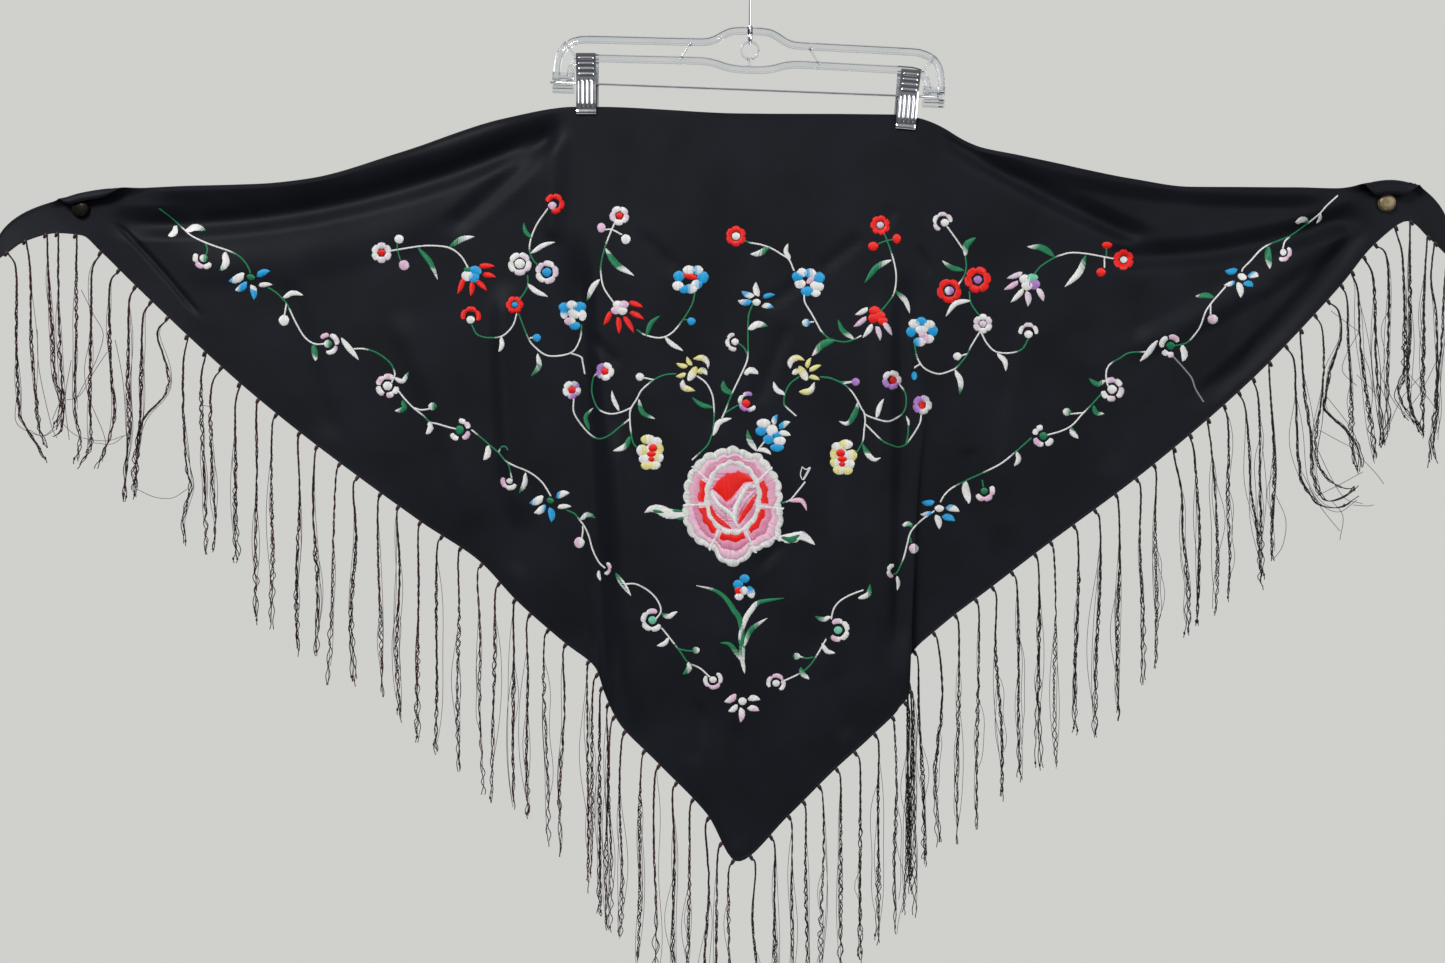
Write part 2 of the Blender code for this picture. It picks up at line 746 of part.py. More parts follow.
def build_leaf(name, centre, lean, facing, left, right):
    """A clip's leaf: its profile pushed out sideways. facing is -1 for the front leaf and 1 for the back."""
    shape = bmesh.new()
    turn = Matrix.Rotation(lean, 4, 'Y')
    rings = []
    for x in (left, right):
        inner = []
        outer = []
        for z, y in LEAF_PROFILE:
            inner.append(shape.verts.new(centre + turn @ Vector((x, facing * y, z))))
            outer.append(shape.verts.new(centre + turn @ Vector((x, facing * (y + LEAF_THICKNESS), z))))
        rings.append(inner + outer[::-1])
    count = len(rings[0])
    for k in range(count):
        m = (k + 1) % count
        shape.faces.new((rings[0][k], rings[0][m], rings[1][m], rings[1][k]))
    half = len(LEAF_PROFILE)
    for ring in rings:
        for k in range(half - 1):
            shape.faces.new((ring[k], ring[k + 1], ring[count - 2 - k], ring[count - 1 - k]))
    return object_from_bmesh(name, shape, "chrome")


def build_sleeve(name, place):
    """The spring's sleeve round the rod, between the two leaves."""
    left = place - SLEEVE_LENGTH / 2
    right = place + SLEEVE_LENGTH / 2
    sleeve = rod_shape(name, SLEEVE_RADIUS, left, right, 12)
    add_boolean(sleeve, rod_shape("bore_" + name, ROD_RADIUS + SEAM_GAP, left - 1, right + 1, 10), 'DIFFERENCE')
    return sleeve


def build_clips():
    for name, place, lean, inner_side in CLIPS:
        centre = hanger_to_world(place, -ROD_DROP)
        half = CLIP_WIDTH / 2
        build_leaf(name + "_front", centre, lean, -1, -half, half)
        shift = (BACK_LEAF_WIDTH - CLIP_WIDTH) / 2 * inner_side
        half_back = BACK_LEAF_WIDTH / 2
        build_leaf(name + "_back", centre, lean, 1, shift - half_back, shift + half_back)
        build_sleeve(name + "_spring", place)


def build_tack(name, x, z):
    """A domed head in front of the cloth and a shank through it."""
    rear = tack_cloth_depth(x, z) - CLOTH_WALL / 2 - SEAM_GAP - 0.2
    outline = [(0.0, -TACK_HEIGHT)]
    dome_steps = 5
    for i in range(1, dome_steps + 1):
        angle = math.pi / 2 * i / dome_steps
        outline.append((TACK_RADIUS * math.sin(angle), -TACK_HEIGHT * math.cos(angle) - 0.5 * (i == dome_steps)))
    outline.append((TACK_RADIUS, 0.0))
    outline.append((SHANK_RADIUS, 0.0))
    outline.append((SHANK_RADIUS, SHANK_REACH - 3.0))
    outline.append((0.0, SHANK_REACH))
    segments = 16
    shape = bmesh.new()
    loops = []
    for radius, y in outline:
        if radius == 0:
            loops.append([shape.verts.new((x, rear + y, z))])
            continue
        loop = []
        for i in range(segments):
            angle = 2 * math.pi * i / segments
            loop.append(shape.verts.new((x + radius * math.cos(angle), rear + y, z + radius * math.sin(angle))))
        loops.append(loop)
    for here, there in zip(loops[:-1], loops[1:]):
        for i in range(segments):
            j = (i + 1) % segments
            if len(here) == 1:
                shape.faces.new((here[0], there[i], there[j]))
            elif len(there) == 1:
                shape.faces.new((here[i], here[j], there[0]))
            else:
                shape.faces.new((here[i], here[j], there[j], there[i]))
    return object_from_bmesh(name, shape, "brass")


def main():
    for item in list(bpy.data.objects):
        bpy.data.objects.remove(item, do_unlink=True)
    build_panel()
    build_fringe("fringe_left", -1)
    build_fringe("fringe_right", 1)
    build_frame()
    build_hook()
    build_ferrule()
    rod_shape("hanger_rod", ROD_RADIUS, ROD_LEFT_END, ROD_RIGHT_END, 10)
    build_clips()
    for name, x, z in TACKS:
        build_tack(name, x, z)


main()
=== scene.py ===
"""Looks of the fringed shawl on its clip hanger.

Millimetres in the tables, metres in the meshes. The cloth's front faces -Y, Z is up, and the
origin is the inside of the hook's crown.
"""

import math

import bmesh
import bpy
import numpy as np
from mathutils import Matrix, Vector
from mathutils.bvhtree import BVHTree


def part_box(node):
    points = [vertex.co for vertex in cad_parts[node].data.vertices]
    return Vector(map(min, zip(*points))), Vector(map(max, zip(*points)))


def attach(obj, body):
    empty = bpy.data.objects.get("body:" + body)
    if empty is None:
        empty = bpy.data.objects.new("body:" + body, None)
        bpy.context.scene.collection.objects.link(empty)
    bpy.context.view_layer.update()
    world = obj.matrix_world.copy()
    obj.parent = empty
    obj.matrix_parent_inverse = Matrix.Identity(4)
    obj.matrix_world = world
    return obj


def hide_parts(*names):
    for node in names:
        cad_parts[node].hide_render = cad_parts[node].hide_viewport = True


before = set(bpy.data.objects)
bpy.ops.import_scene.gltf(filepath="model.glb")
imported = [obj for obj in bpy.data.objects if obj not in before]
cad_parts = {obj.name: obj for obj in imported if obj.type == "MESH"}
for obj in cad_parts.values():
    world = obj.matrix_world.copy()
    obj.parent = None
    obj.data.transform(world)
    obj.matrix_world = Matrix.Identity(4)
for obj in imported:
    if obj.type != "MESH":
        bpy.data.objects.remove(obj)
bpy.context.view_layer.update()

MM = 0.001
HALF_LONG_EDGE = 700.0
TIP_CUT = 8.0
SHELL_HALF = 0.3
ROLL_RADIUS = 4.0
EDGE_BAND = 4.0
HEM_ROLL = 3.2
HEM_SWELL = 0.45
TIP_TAPER = 60.0
BAND_ROWS = (-1.0, -0.82, -0.64, -0.46, -0.3, -0.15)
# Rows near the top edge and near the hem, in millimetres from them, and the number between
TOP_ROWS = (0.0, 1.5, 4.0)
HEM_ROWS = (7.0, 4.0, 3.2, 2.4, 1.6, 0.8, 0.0)
MIDDLE_ROWS = 112
# Columns of the cloth's grid stand closer between these places, where it is gathered
CLOSE_STEP = 3.4
OPEN_STEP = 5.0
CLOSE_COLUMNS = ((-205, -105), (136, 222), (-640, -516), (540, 655))

HANGER_CENTRE_Z = -90.0
HANGER_TILT = math.radians(2.2)
ROD_DROP = 35.8
ROD_RADIUS = 1.1
ROD_END_RADIUS = 0.7
ROD_LEFT_END = -180.0
ROD_RIGHT_END = 173.0
HOOK_INNER_RADIUS = 20.0
HOOK_WIRE_RADIUS = 1.3
HOOK_END_ANGLE = math.radians(205.0)
HOOK_LEAVE_ANGLE = math.radians(-58.0)
HOOK_STEPS = 52
STEM_BOTTOM_Z = -85.0
FERRULE_TOP_Z = -67.5
FERRULE_RADIUS = 2.4
FERRULE_GROOVE = 2.15
FERRULE_BORE = 1.65
FERRULE_FOOT = 9.3
FERRULE_SIDES = 28

# Where the camera stands, in millimetres, and what a pixel of the photo covers in the hanger's plane
EYE = np.array((-25.0, -1820.0, -480.8))
PIXEL = 0.908
PIXEL_X = -681.03
PIXEL_Z = -43.6

# Top edge: place on the flat cloth, then where it hangs
TOP_EDGE = (
    # flat, x, z, depth
    (-700, -691, -283, 6),
    (-686, -689, -270, 7),
    (-670, -682, -253, 9),
    (-647, -665, -237, 12),
    (-624, -643, -227, 14),
    (-604, -624, -222, 14),
    (-591, -611, -218, 14),
    (-565, -585, -214, 14),
    (-504, -522, -212, 11),
    (-430, -445, -210, 9),
    (-384, -398, -205, 8),
    (-304, -319, -183, 5),
    (-211, -227, -153, 2),
    (-144, -159, -141, 0),
    (-124, -139, -141, 0),
    (0, -12, -147, 0),
    (140, 133, -148, 0),
    (158, 152, -151, 0),
    (222, 214, -178, 2),
    (291, 282, -193, 5),
    (354, 347, -206, 7),
    (408, 402, -213, 9),
    (536, 534, -213, 13),
    (590, 584, -206, 14),
    (608, 600, -208, 14),
    (625, 616, -215, 13),
    (649, 633, -236, 10),
    (669, 639, -256, 8),
    (700, 649, -291, 6),
)

# Hem, in the same columns
HEM = (
    # flat, x, z, depth
    (-700, -691, -283, 6),
    (-679, -675, -272, 7),
    (-663, -663, -263, 9),
    (-629, -632, -254, 13),
    (-606, -610, -256, 14),
    (-591, -594, -270, 14),
    (-558, -559, -304, 12),
    (-454, -446, -407, 8),
    (-329, -299, -518, 8),
    (-286, -247, -553, 9),
    (-252, -213, -589, 9),
    (-210, -170, -627, 10),
    (-182, -141, -651, 11),
    (-152, -131, -676, 5),
    (-122, -119, -699, -3),
    (-83, -82, -737, -4),
    (-38, -39, -782, -3),
    (0, -11, -825, -2),
    (45, 34, -784, -3),
    (87, 75, -743, -4),
    (123, 112, -709, -5),
    (148, 135, -685, -4),
    (180, 142, -662, 4),
    (212, 148, -638, 12),
    (236, 174, -613, 11),
    (275, 219, -578, 10),
    (313, 263, -544, 9),
    (405, 372, -462, 8),
    (483, 459, -386, 8),
    (526, 503, -341, 9),
    (564, 541, -300, 12),
    (597, 572, -263, 14),
    (620, 600, -243, 13),
    (647, 618, -258, 10),
    (700, 649, -291, 6),
)

# A pleat lapped sideways: where it lies on the flat cloth, and how far the cloth swings to each side
LAPPED_PLEAT = {"flat_from": 148.0, "flat_to": 212.0, "swing": 5.0}

# Folds: a line and its bow to one side, half the fold's width, and its depth, below 0 for a ridge
FOLDS = (
    # x0, z0, x1, z1, bow, half_width, depth
    (-575, -245, -163, -154, -26, 18, 10),
    (-545, -214, -200, -150, -18, 17, -5.5),
    (-520, -285, -200, -200, -22, 28, -2),
    (-171, -155, -275, -251, -4, 14, 5),
    (-578, -246, -505, -327, 2, 4.5, 2.6),
    (-120, -434, -100, -697, 0, 16, -5),
    (-222, -307, -209, -516, -5, 18, -7),
    (-159, -270, -130, -655, 0, 19, 8.5),
    (173, -166, 363, -262, -3, 15, 8),
    (565, -233, 327, -275, -13, 17, 8),
    (209, -180, 527, -216, -14, 15, -6),
    (567, -236, 409, -407, -8, 15, 4.5),
    (545, -248, 345, -361, -6, 18, -4),
    (120, -316, 120, -625, 0, 14, -4),
    (140, -300, 134, -643, -4, 16, 7),
    (-170, -157, -178, -262, 4, 14, -3),
    (-220, -470, -212, -563, 0, 10, 2),
    (32, -340, 6, -409, 0, 10, 2.2),
    (62, -290, 100, -260, 0, 8, 2),
    (12, -324, 46, -300, 0, 8, 1.8),
    (-142, -352, -120, -374, 0, 8, 1.8),
    (-13, -702, -13, -812, 0, 12, 3),
    (-45, -683, -52, -734, 0, 9, 2.5),
    (88, -711, 73, -655, 0, 9, 2.5),
    (27, -538, 6, -560, 0, 8, 2.5),
    (199, -452, 199, -498, 0, 8, 2.5),
    (-97, -258, -69, -289, 0, 9, 2),
    (129, -232, 119, -256, 0, 8, 1.8),
    (152, -270, 162, -292, 0, 8, 1.8),
    (-320, -330, -250, -520, 6, 20, -2.5),
    (-420, -300, -380, -440, -4, 18, 2),
    (260, -330, 230, -540, 6, 18, -2.5),
    (350, -300, 330, -470, -4, 20, 2),
    (470, -300, 440, -380, 2, 14, -2),
    (-30, -430, -20, -640, 6, 22, -2),
    (70, -450, 60, -640, -4, 18, 1.8),
)

# Share of a fold's length over which it fades out
FOLD_END = 0.15

# Small unevenness of the cloth: size of its patches and its height
WRINKLES = (
    # size_x, size_z, height, seed
    (62, 95, 1.0, 5),
    (21, 38, 0.35, 11),
    (8, 12, 0.08, 23),
)

# Rolled stretches of the top edge, by place on the flat cloth, and the length they add to its edge band
ROLLS = (
    # start, full_from, full_to, end, extra
    (-624, -597, -574, -522, 13),
    (544, 577, 602, 633, 18),
)
TACKS = (
    # name, x, z
    ("tack_left", -611.0, -231.7),
    ("tack_right", 581.5, -226.3),
)
CLIPS = (
    # name, place on the rod, lean, width side that faces the middle, foot and top above the rod
    ("clip_left", -147.2, math.radians(0.0), 1.0, -28.0, 26.0),
    ("clip_right", 144.8, math.radians(5.0), -1.0, -30.5, 22.5),
)
# How far the cloth lies flat round a tack or a jaw, and how much further out the folds are full
CALM_TACK = 12.0
CALM_JAW = 14.0
CALM_OUTER = 34.0
JAW_DROP = 26.0

# Bundles of the fringe, in millimetres and shares of them all
LOCK_SPACING = 22.0 / math.sqrt(2)
LOCK_LENGTH = 200.0
LOCK_STEPS = 84
ROOT_DROP = 0.4
FINE_SHARE = 0.25
END_KNOT_SHARE = 0.3
CORD_RADIUS = 0.58
FINE_CORD_RADIUS = 0.62
STRAY_RADIUS = 0.27
LOOSE_RADIUS = 0.3
HEM_KNOT_RADII = (0.5, 1.3, 1.75, 1.8, 1.6, 1.35, 1.1)
HEM_KNOT_OUT = 3.0
HEM_KNOT_ABOVE = 2.2
HEM_KNOT_LENGTH = 5.4
# Ranges that chance picks from for each bundle: counts, millimetres and shares of its length
CORDS = (3, 5)
STRAYS = (3, 6)
BULGES = 3
LENGTH_SPREAD = (-12, 12)
PLACE_SPREAD = (-1.6, 1.6)
HANGS_OUT = (2.5, 5.5)
LEAN_SPREAD = 2.6
WAVE_SPREAD = 1.4
TWIST_LENGTH = (14, 22)
ANY_PHASE = (0, 6.3)
BULGE_PLACE = (0.25, 1.0)
BULGE_SIZE = (0.1, 0.9)
BULGE_WIDTH = (0.05, 0.14)
CORD_END = (0.955, 1.01)
SLACK_WAVES = (9, 16)
OPENING_WAVES = (12, 20)
STRAY_START = (0.0, 0.5)
STRAY_END = (0.72, 1.0)
STRAY_BOW = 3.0
# How far the cords stand from their middle line at the knot, and how much more further down
TIGHT_OPENING = 0.42
LOOSE_OPENING = 0.25
DEEPEST_OPENING = 0.9


def smooth(value):
    """A soft step from 0 to 1."""
    value = np.clip(value, 0.0, 1.0)
    return value * value * (3 - 2 * value)


def smooth_column(rows, column):
    """A curve through one column of a table that never overshoots its rows."""
    place = np.array([row[0] for row in rows], dtype=float)
    value = np.array([row[column] for row in rows], dtype=float)
    step = np.diff(place)
    slope = np.diff(value) / step
    tangent = np.zeros(len(place))
    tangent[0] = slope[0]
    tangent[-1] = slope[-1]
    for i in range(1, len(place) - 1):
        if slope[i - 1] * slope[i] > 0:
            before = 2 * step[i] + step[i - 1]
            after = step[i] + 2 * step[i - 1]
            tangent[i] = (before + after) / (before / slope[i - 1] + after / slope[i])

    def curve(at):
        i = np.clip(np.searchsorted(place, at) - 1, 0, len(step) - 1)
        u = (at - place[i]) / step[i]
        start = value[i] * (1 + 2 * u) * (1 - u) ** 2 + tangent[i] * step[i] * u * (1 - u) ** 2
        end = value[i + 1] * u * u * (3 - 2 * u) + tangent[i + 1] * step[i] * u * u * (u - 1)
        return start + end

    return curve


top_curves = [smooth_column(TOP_EDGE, column) for column in (1, 2, 3)]
hem_curves = [smooth_column(HEM, column) for column in (1, 2, 3)]


def roll_share(flat):
    """How far the top edge is rolled at each place, and the length of its edge band."""
    share = np.zeros_like(flat)
    band = np.full_like(flat, EDGE_BAND)
    for start, full_from, full_to, end, extra in ROLLS:
        inside = (flat > start) & (flat < end)
        rising = smooth((flat - start) / (full_from - start))
        local = np.minimum(rising, smooth((end - flat) / (end - full_to)))
        share = np.where(inside, local, share)
        band = np.where(inside, EDGE_BAND + local * extra, band)
    return share, band


def roll_point(share, along):
    """Forward and upward reach of the edge, at a length along it from where it starts to turn."""
    radius = ROLL_RADIUS / np.maximum(share, 0.01)
    angle = np.minimum(along / radius, math.pi)
    straight = along - angle * radius
    rolled = share >= 0.01
    forward = np.where(rolled, -radius * (1 - np.cos(angle)), 0.0)
    return forward, np.where(rolled, radius * np.sin(angle) - straight, along)


def fold_depth(x, z):
    """Sum of the folds' depths at places on the hanging cloth."""
    total = np.zeros_like(x)
    for x0, z0, x1, z1, bow, half_width, depth in FOLDS:
        run_x = x1 - x0
        run_z = z1 - z0
        length = math.hypot(run_x, run_z)
        along = ((x - x0) * run_x + (z - z0) * run_z) / length ** 2
        side = 1.0 if run_x >= 0 else -1.0
        across = side * ((z - z0) * run_x - (x - x0) * run_z) / length - bow * 4 * along * (1 - along)
        inside = (along > -0.05) & (along < 1.05) & (np.abs(across) < half_width)
        ends = smooth(along / FOLD_END + 0.3) * smooth((1 - along) / FOLD_END + 0.3)
        total += np.where(inside, depth * ends * 0.5 * (1 + np.cos(math.pi * across / half_width)), 0.0)
    return total


def calm(x, z):
    """Nought beside a tack or in a clip's jaws, where the cloth is held flat, and one elsewhere."""
    share = np.ones_like(x)
    for _, tack_x, tack_z in TACKS:
        share = np.minimum(share, smooth((np.hypot(x - tack_x, z - tack_z) - CALM_TACK) / CALM_OUTER))
    for _, place, *_ in CLIPS:
        jaw_z = HANGER_CENTRE_Z - ROD_DROP - place * math.sin(HANGER_TILT) - JAW_DROP
        share = np.minimum(share, smooth((np.hypot(x - place, z - jaw_z) - CALM_JAW) / CALM_OUTER))
    return share


def patches(x, z, size_x, size_z, seed):
    """Smooth random heights from -1 to 1 in patches of one size."""
    u = x / size_x + 40.0
    v = z / size_z + 120.0
    lattice = np.random.default_rng(seed).uniform(-1, 1, (256, 256))
    i = np.floor(u).astype(int)
    j = np.floor(v).astype(int)
    a = smooth(u - i)
    b = smooth(v - j)
    i = i % 255
    j = j % 255
    low = lattice[i, j] * (1 - a) + lattice[i + 1, j] * a
    high = lattice[i, j + 1] * (1 - a) + lattice[i + 1, j + 1] * a
    return low * (1 - b) + high * b


def cloth_points(flat, drop):
    """Middle of the cloth. drop runs -1 to 0 along the edge band and 0 to 1 down to the hem."""
    share, band = roll_share(flat)
    bent = band * share / ROLL_RADIUS > math.pi / 2
    rise = np.where(bent, ROLL_RADIUS / np.maximum(share, 0.01), roll_point(share, band)[1])
    down = np.maximum(drop, 0.0)
    top = [curve(flat) for curve in top_curves]
    hem = [curve(flat) for curve in hem_curves]
    top[1] = top[1] - rise
    x, z, y = [a + (b - a) * down for a, b in zip(top, hem)]
    lap_from = LAPPED_PLEAT["flat_from"]
    lap_to = LAPPED_PLEAT["flat_to"]
    turn = 2 * math.pi * (flat - lap_from) / (lap_to - lap_from)
    inside = (flat > lap_from) & (flat < lap_to)
    x = x + np.where(inside, LAPPED_PLEAT["swing"] * np.sin(turn) * smooth(down), 0.0)
    uneven = fold_depth(x, z)
    for size_x, size_z, height, seed in WRINKLES:
        uneven = uneven + height * patches(x, z, size_x, size_z, seed)
    y = y + uneven * calm(x, z)
    forward, upward = roll_point(share, np.maximum(-drop, 0.0) * band)
    in_band = drop < 0
    return np.stack((x, y + np.where(in_band, forward, 0.0), z + np.where(in_band, upward, 0.0)), axis=-1)


def cloth_grid():
    """Places of the grid on the flat cloth: columns, and the drop of each row in each column."""
    columns = []
    place = -HALF_LONG_EDGE + TIP_CUT
    while place < HALF_LONG_EDGE - TIP_CUT - 2.0:
        columns.append(place)
        place += CLOSE_STEP if any(low <= place < high for low, high in CLOSE_COLUMNS) else OPEN_STEP
    columns.append(HALF_LONG_EDGE - TIP_CUT)
    columns = np.array(columns)
    length = HALF_LONG_EDGE - np.abs(columns)
    scale = np.minimum(1.0, length / TIP_TAPER) / length
    rows = [np.full_like(columns, band) for band in BAND_ROWS]
    rows += [scale * reach for reach in TOP_ROWS]
    for k in range(1, MIDDLE_ROWS + 1):
        share = k / (MIDDLE_ROWS + 1)
        rows.append(scale * TOP_ROWS[-1] * (1 - share) + (1 - scale * HEM_ROWS[0]) * share)
    rows += [1 - scale * reach for reach in HEM_ROWS]
    drops = np.stack(rows, axis=1)
    flats = np.repeat(columns[:, None], drops.shape[1], axis=1)
    return flats, drops


def grid_normals(points):
    """Unit normals of a grid of points, away from the viewer."""
    across = np.gradient(points, axis=0)
    down = np.gradient(points, axis=1)
    normal = np.cross(across, down)
    return normal / np.maximum(np.linalg.norm(normal, axis=-1, keepdims=True), 1e-9)


def grid_quads(rows, columns):
    """Corners of each face of a grid whose points run along its columns first."""
    corners = [i * columns + j for i in range(rows - 1) for j in range(columns - 1)]
    return [(a, a + columns, a + columns + 1, a + 1) for a in corners]


def link_object(name, data):
    """A new object in the scene."""
    made = bpy.data.objects.new(name, data)
    bpy.context.scene.collection.objects.link(made)
    return made


def new_object(name, points, faces, material, smooth_angle=40.0):
    """A mesh object from points in millimetres."""
    mesh = bpy.data.meshes.new(name)
    mesh.from_pydata((np.asarray(points, dtype=float) * MM).tolist(), [], faces)
    mesh.materials.append(material)
    mesh.shade_smooth()
    if smooth_angle < 180:
        mesh.set_sharp_from_angle(angle=math.radians(smooth_angle))
    return link_object(name, mesh)


def add_piece(made, slot, *nodes):
    """Put a piece on the one body and hide the solids it covers; its slot is not used."""
    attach(made, "root")
    if nodes:
        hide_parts(*nodes)
    return made


# Materials

def new_material(name):
    """A material with its nodes, links and surface shader."""
    material = bpy.data.materials.new(name)
    material.use_nodes = True
    nodes = material.node_tree.nodes
    return material, nodes, material.node_tree.links, nodes["Principled BSDF"]


def set_sockets(node, **values):
    """Set inputs by name, with underscores for the blanks."""
    for name, value in values.items():
        node.inputs[name.replace("_", " ")].default_value = value


def noise_node(nodes, links, source, scale, detail=3.0, stretch=None):
    """A noise texture on the given coordinates, stretched along them where asked."""
    node = nodes.new("ShaderNodeTexNoise")
    set_sockets(node, Scale=scale, Detail=detail)
    if stretch:
        mapping = nodes.new("ShaderNodeMapping")
        mapping.inputs["Scale"].default_value = stretch
        links.new(source, mapping.inputs["Vector"])
        source = mapping.outputs["Vector"]
    links.new(source, node.inputs["Vector"])
    return node


def mix_colours(nodes, links, factor, dark, light, low=0.35, high=0.65):
    """From the dark to the light colour as the factor runs from low to high."""
    ramp = nodes.new("ShaderNodeValToRGB")
    for element, place, colour in zip(ramp.color_ramp.elements, (low, high), (dark, light)):
        element.position = place
        element.color = (*colour, 1.0)
    links.new(factor, ramp.inputs["Fac"])
    return ramp.outputs["Color"]


def add_bump(nodes, links, height, shader, strength, distance):
    """Relief on a surface from a height."""
    bump = nodes.new("ShaderNodeBump")
    set_sockets(bump, Strength=strength, Distance=distance)
    links.new(height, bump.inputs["Height"])
    links.new(bump.outputs["Normal"], shader.inputs["Normal"])


def cloth_material():
    """Black silk twill: a fine slanted weave, faint slubs and a soft sheen."""
    material, nodes, links, shader = new_material("black_silk")
    flat = nodes.new("ShaderNodeUVMap").outputs["UV"]
    slubs = noise_node(nodes, links, flat, 1.0, 4.0, (900.0, 60.0, 1.0))
    cross_slubs = noise_node(nodes, links, flat, 1.0, 4.0, (60.0, 900.0, 1.0))
    mottle = noise_node(nodes, links, flat, 14.0, 4.0)
    weave = nodes.new("ShaderNodeTexWave")
    set_sockets(weave, Scale=260.0, Distortion=0.6)
    links.new(flat, weave.inputs["Vector"])
    total = nodes.new("ShaderNodeMath")
    total.operation = 'ADD'
    links.new(slubs.outputs["Fac"], total.inputs[0])
    links.new(cross_slubs.outputs["Fac"], total.inputs[1])
    height = nodes.new("ShaderNodeMath")
    height.operation = 'MULTIPLY_ADD'
    height.inputs[1].default_value = 0.5
    links.new(weave.outputs["Fac"], height.inputs[0])
    links.new(total.outputs[0], height.inputs[2])
    dark = (0.0032, 0.0040, 0.0064)
    light = (0.0052, 0.0066, 0.0104)
    links.new(mix_colours(nodes, links, mottle.outputs["Fac"], dark, light), shader.inputs["Base Color"])
    set_sockets(shader, Roughness=0.58, Specular_IOR_Level=0.11, Sheen_Weight=0.025, Sheen_Roughness=0.4,
                Sheen_Tint=(0.65, 0.8, 1.0, 1.0))
    add_bump(nodes, links, height.outputs[0], shader, 0.35, 0.00015)
    return material


def fringe_material(name, dark, light):
    """Twisted silk cord, glossy along its fibres."""
    material, nodes, links, shader = new_material(name)
    place = nodes.new("ShaderNodeTexCoord").outputs["Object"]
    fibres = noise_node(nodes, links, place, 1.0, 3.0, (1600.0, 1600.0, 500.0))
    shade = noise_node(nodes, links, place, 40.0, 2.0)
    links.new(mix_colours(nodes, links, shade.outputs["Fac"], dark, light), shader.inputs["Base Color"])
    set_sockets(shader, Roughness=0.42, Specular_IOR_Level=0.3, Sheen_Weight=0.03)
    add_bump(nodes, links, fibres.outputs["Fac"], shader, 0.5, 0.0002)
    return material


def plastic_material():
    """Clear moulded plastic with faint flow marks."""
    material, nodes, links, shader = new_material("clear_plastic")
    place = nodes.new("ShaderNodeTexCoord").outputs["Object"]
    flow = noise_node(nodes, links, place, 1.0, 2.0, (30.0, 120.0, 120.0))
    links.new(mix_colours(nodes, links, flow.outputs["Fac"], (0.84, 0.87, 0.90), (0.92, 0.94, 0.96)),
              shader.inputs["Base Color"])
    set_sockets(shader, Transmission_Weight=1.0, Roughness=0.04, IOR=1.47)
    return material


def metal_material(name, dark, light, roughness, scale, metallic=1.0):
    """Plated metal with a slightly uneven finish."""
    material, nodes, links, shader = new_material(name)
    place = nodes.new("ShaderNodeTexCoord").outputs["Object"]
    patchy = noise_node(nodes, links, place, scale, 4.0)
    links.new(mix_colours(nodes, links, patchy.outputs["Fac"], dark, light), shader.inputs["Base Color"])
    spread = nodes.new("ShaderNodeMapRange")
    set_sockets(spread, To_Min=roughness * 0.7, To_Max=roughness * 1.4)
    links.new(patchy.outputs["Fac"], spread.inputs["Value"])
    links.new(spread.outputs["Result"], shader.inputs["Roughness"])
    set_sockets(shader, Metallic=metallic)
    return material


def floor_material():
    """Plain pale floor, very slightly uneven."""
    material, nodes, links, shader = new_material("pale_floor")
    place = nodes.new("ShaderNodeTexCoord").outputs["Object"]
    patchy = noise_node(nodes, links, place, 6.0, 3.0)
    links.new(mix_colours(nodes, links, patchy.outputs["Fac"], (0.62, 0.62, 0.61), (0.65, 0.65, 0.64)),
              shader.inputs["Base Color"])
    set_sockets(shader, Roughness=0.7)
    return material


# Cloth

def build_cloth(material):
    """A thin shell of two layers on the cloth's form, with a rolled hem."""
    flats, drops = cloth_grid()
    points = cloth_points(flats, drops)
    normals = grid_normals(points)
    length = HALF_LONG_EDGE - np.abs(flats)
    from_hem = (1 - drops) * length / np.minimum(1.0, length / TIP_TAPER)
    half = SHELL_HALF + HEM_SWELL * np.sin(math.pi * np.clip((HEM_ROLL - from_hem) / HEM_ROLL, 0.0, 1.0))
    front = points - normals * half[..., None]
    back = points + normals * half[..., None]
    count_i, count_j = flats.shape
    total = count_i * count_j
    quads = grid_quads(count_i, count_j)
    faces = []
    for a, b, c, d in quads:
        faces.append((a, b, c, d))
        faces.append((total + a, total + d, total + c, total + b))
    for i in range(count_i - 1):
        for j in (0, count_j - 1):
            a = i * count_j + j
            b = a + count_j
            quad = (a, b, total + b, total + a)
            faces.append(quad[::-1] if j == 0 else quad)
    for j in range(count_j - 1):
        for i in (0, count_i - 1):
            a = i * count_j + j
            quad = (a, a + 1, total + a + 1, total + a)
            faces.append(quad[::-1] if i else quad)
    points_all = np.concatenate((front.reshape(-1, 3), back.reshape(-1, 3)))
    cloth = new_object("shawl_cloth", points_all, faces, material, 180.0)
    u = flats * MM
    v = -np.maximum(drops, -0.05) * length * MM
    flat_places = np.tile(np.stack((u.ravel(), v.ravel()), axis=1), (2, 1))
    corners = np.zeros(len(cloth.data.loops), dtype=np.int32)
    cloth.data.loops.foreach_get("vertex_index", corners)
    cloth.data.uv_layers.new(name="flat").data.foreach_set("uv", flat_places[corners].ravel())
    add_piece(cloth, "cloth", "shawl_panel")
    return cloth, BVHTree.FromPolygons(front.reshape(-1, 3).tolist(), quads)


# Embroidery, drawn in the photo's pixels and laid on the cloth as satin stitches

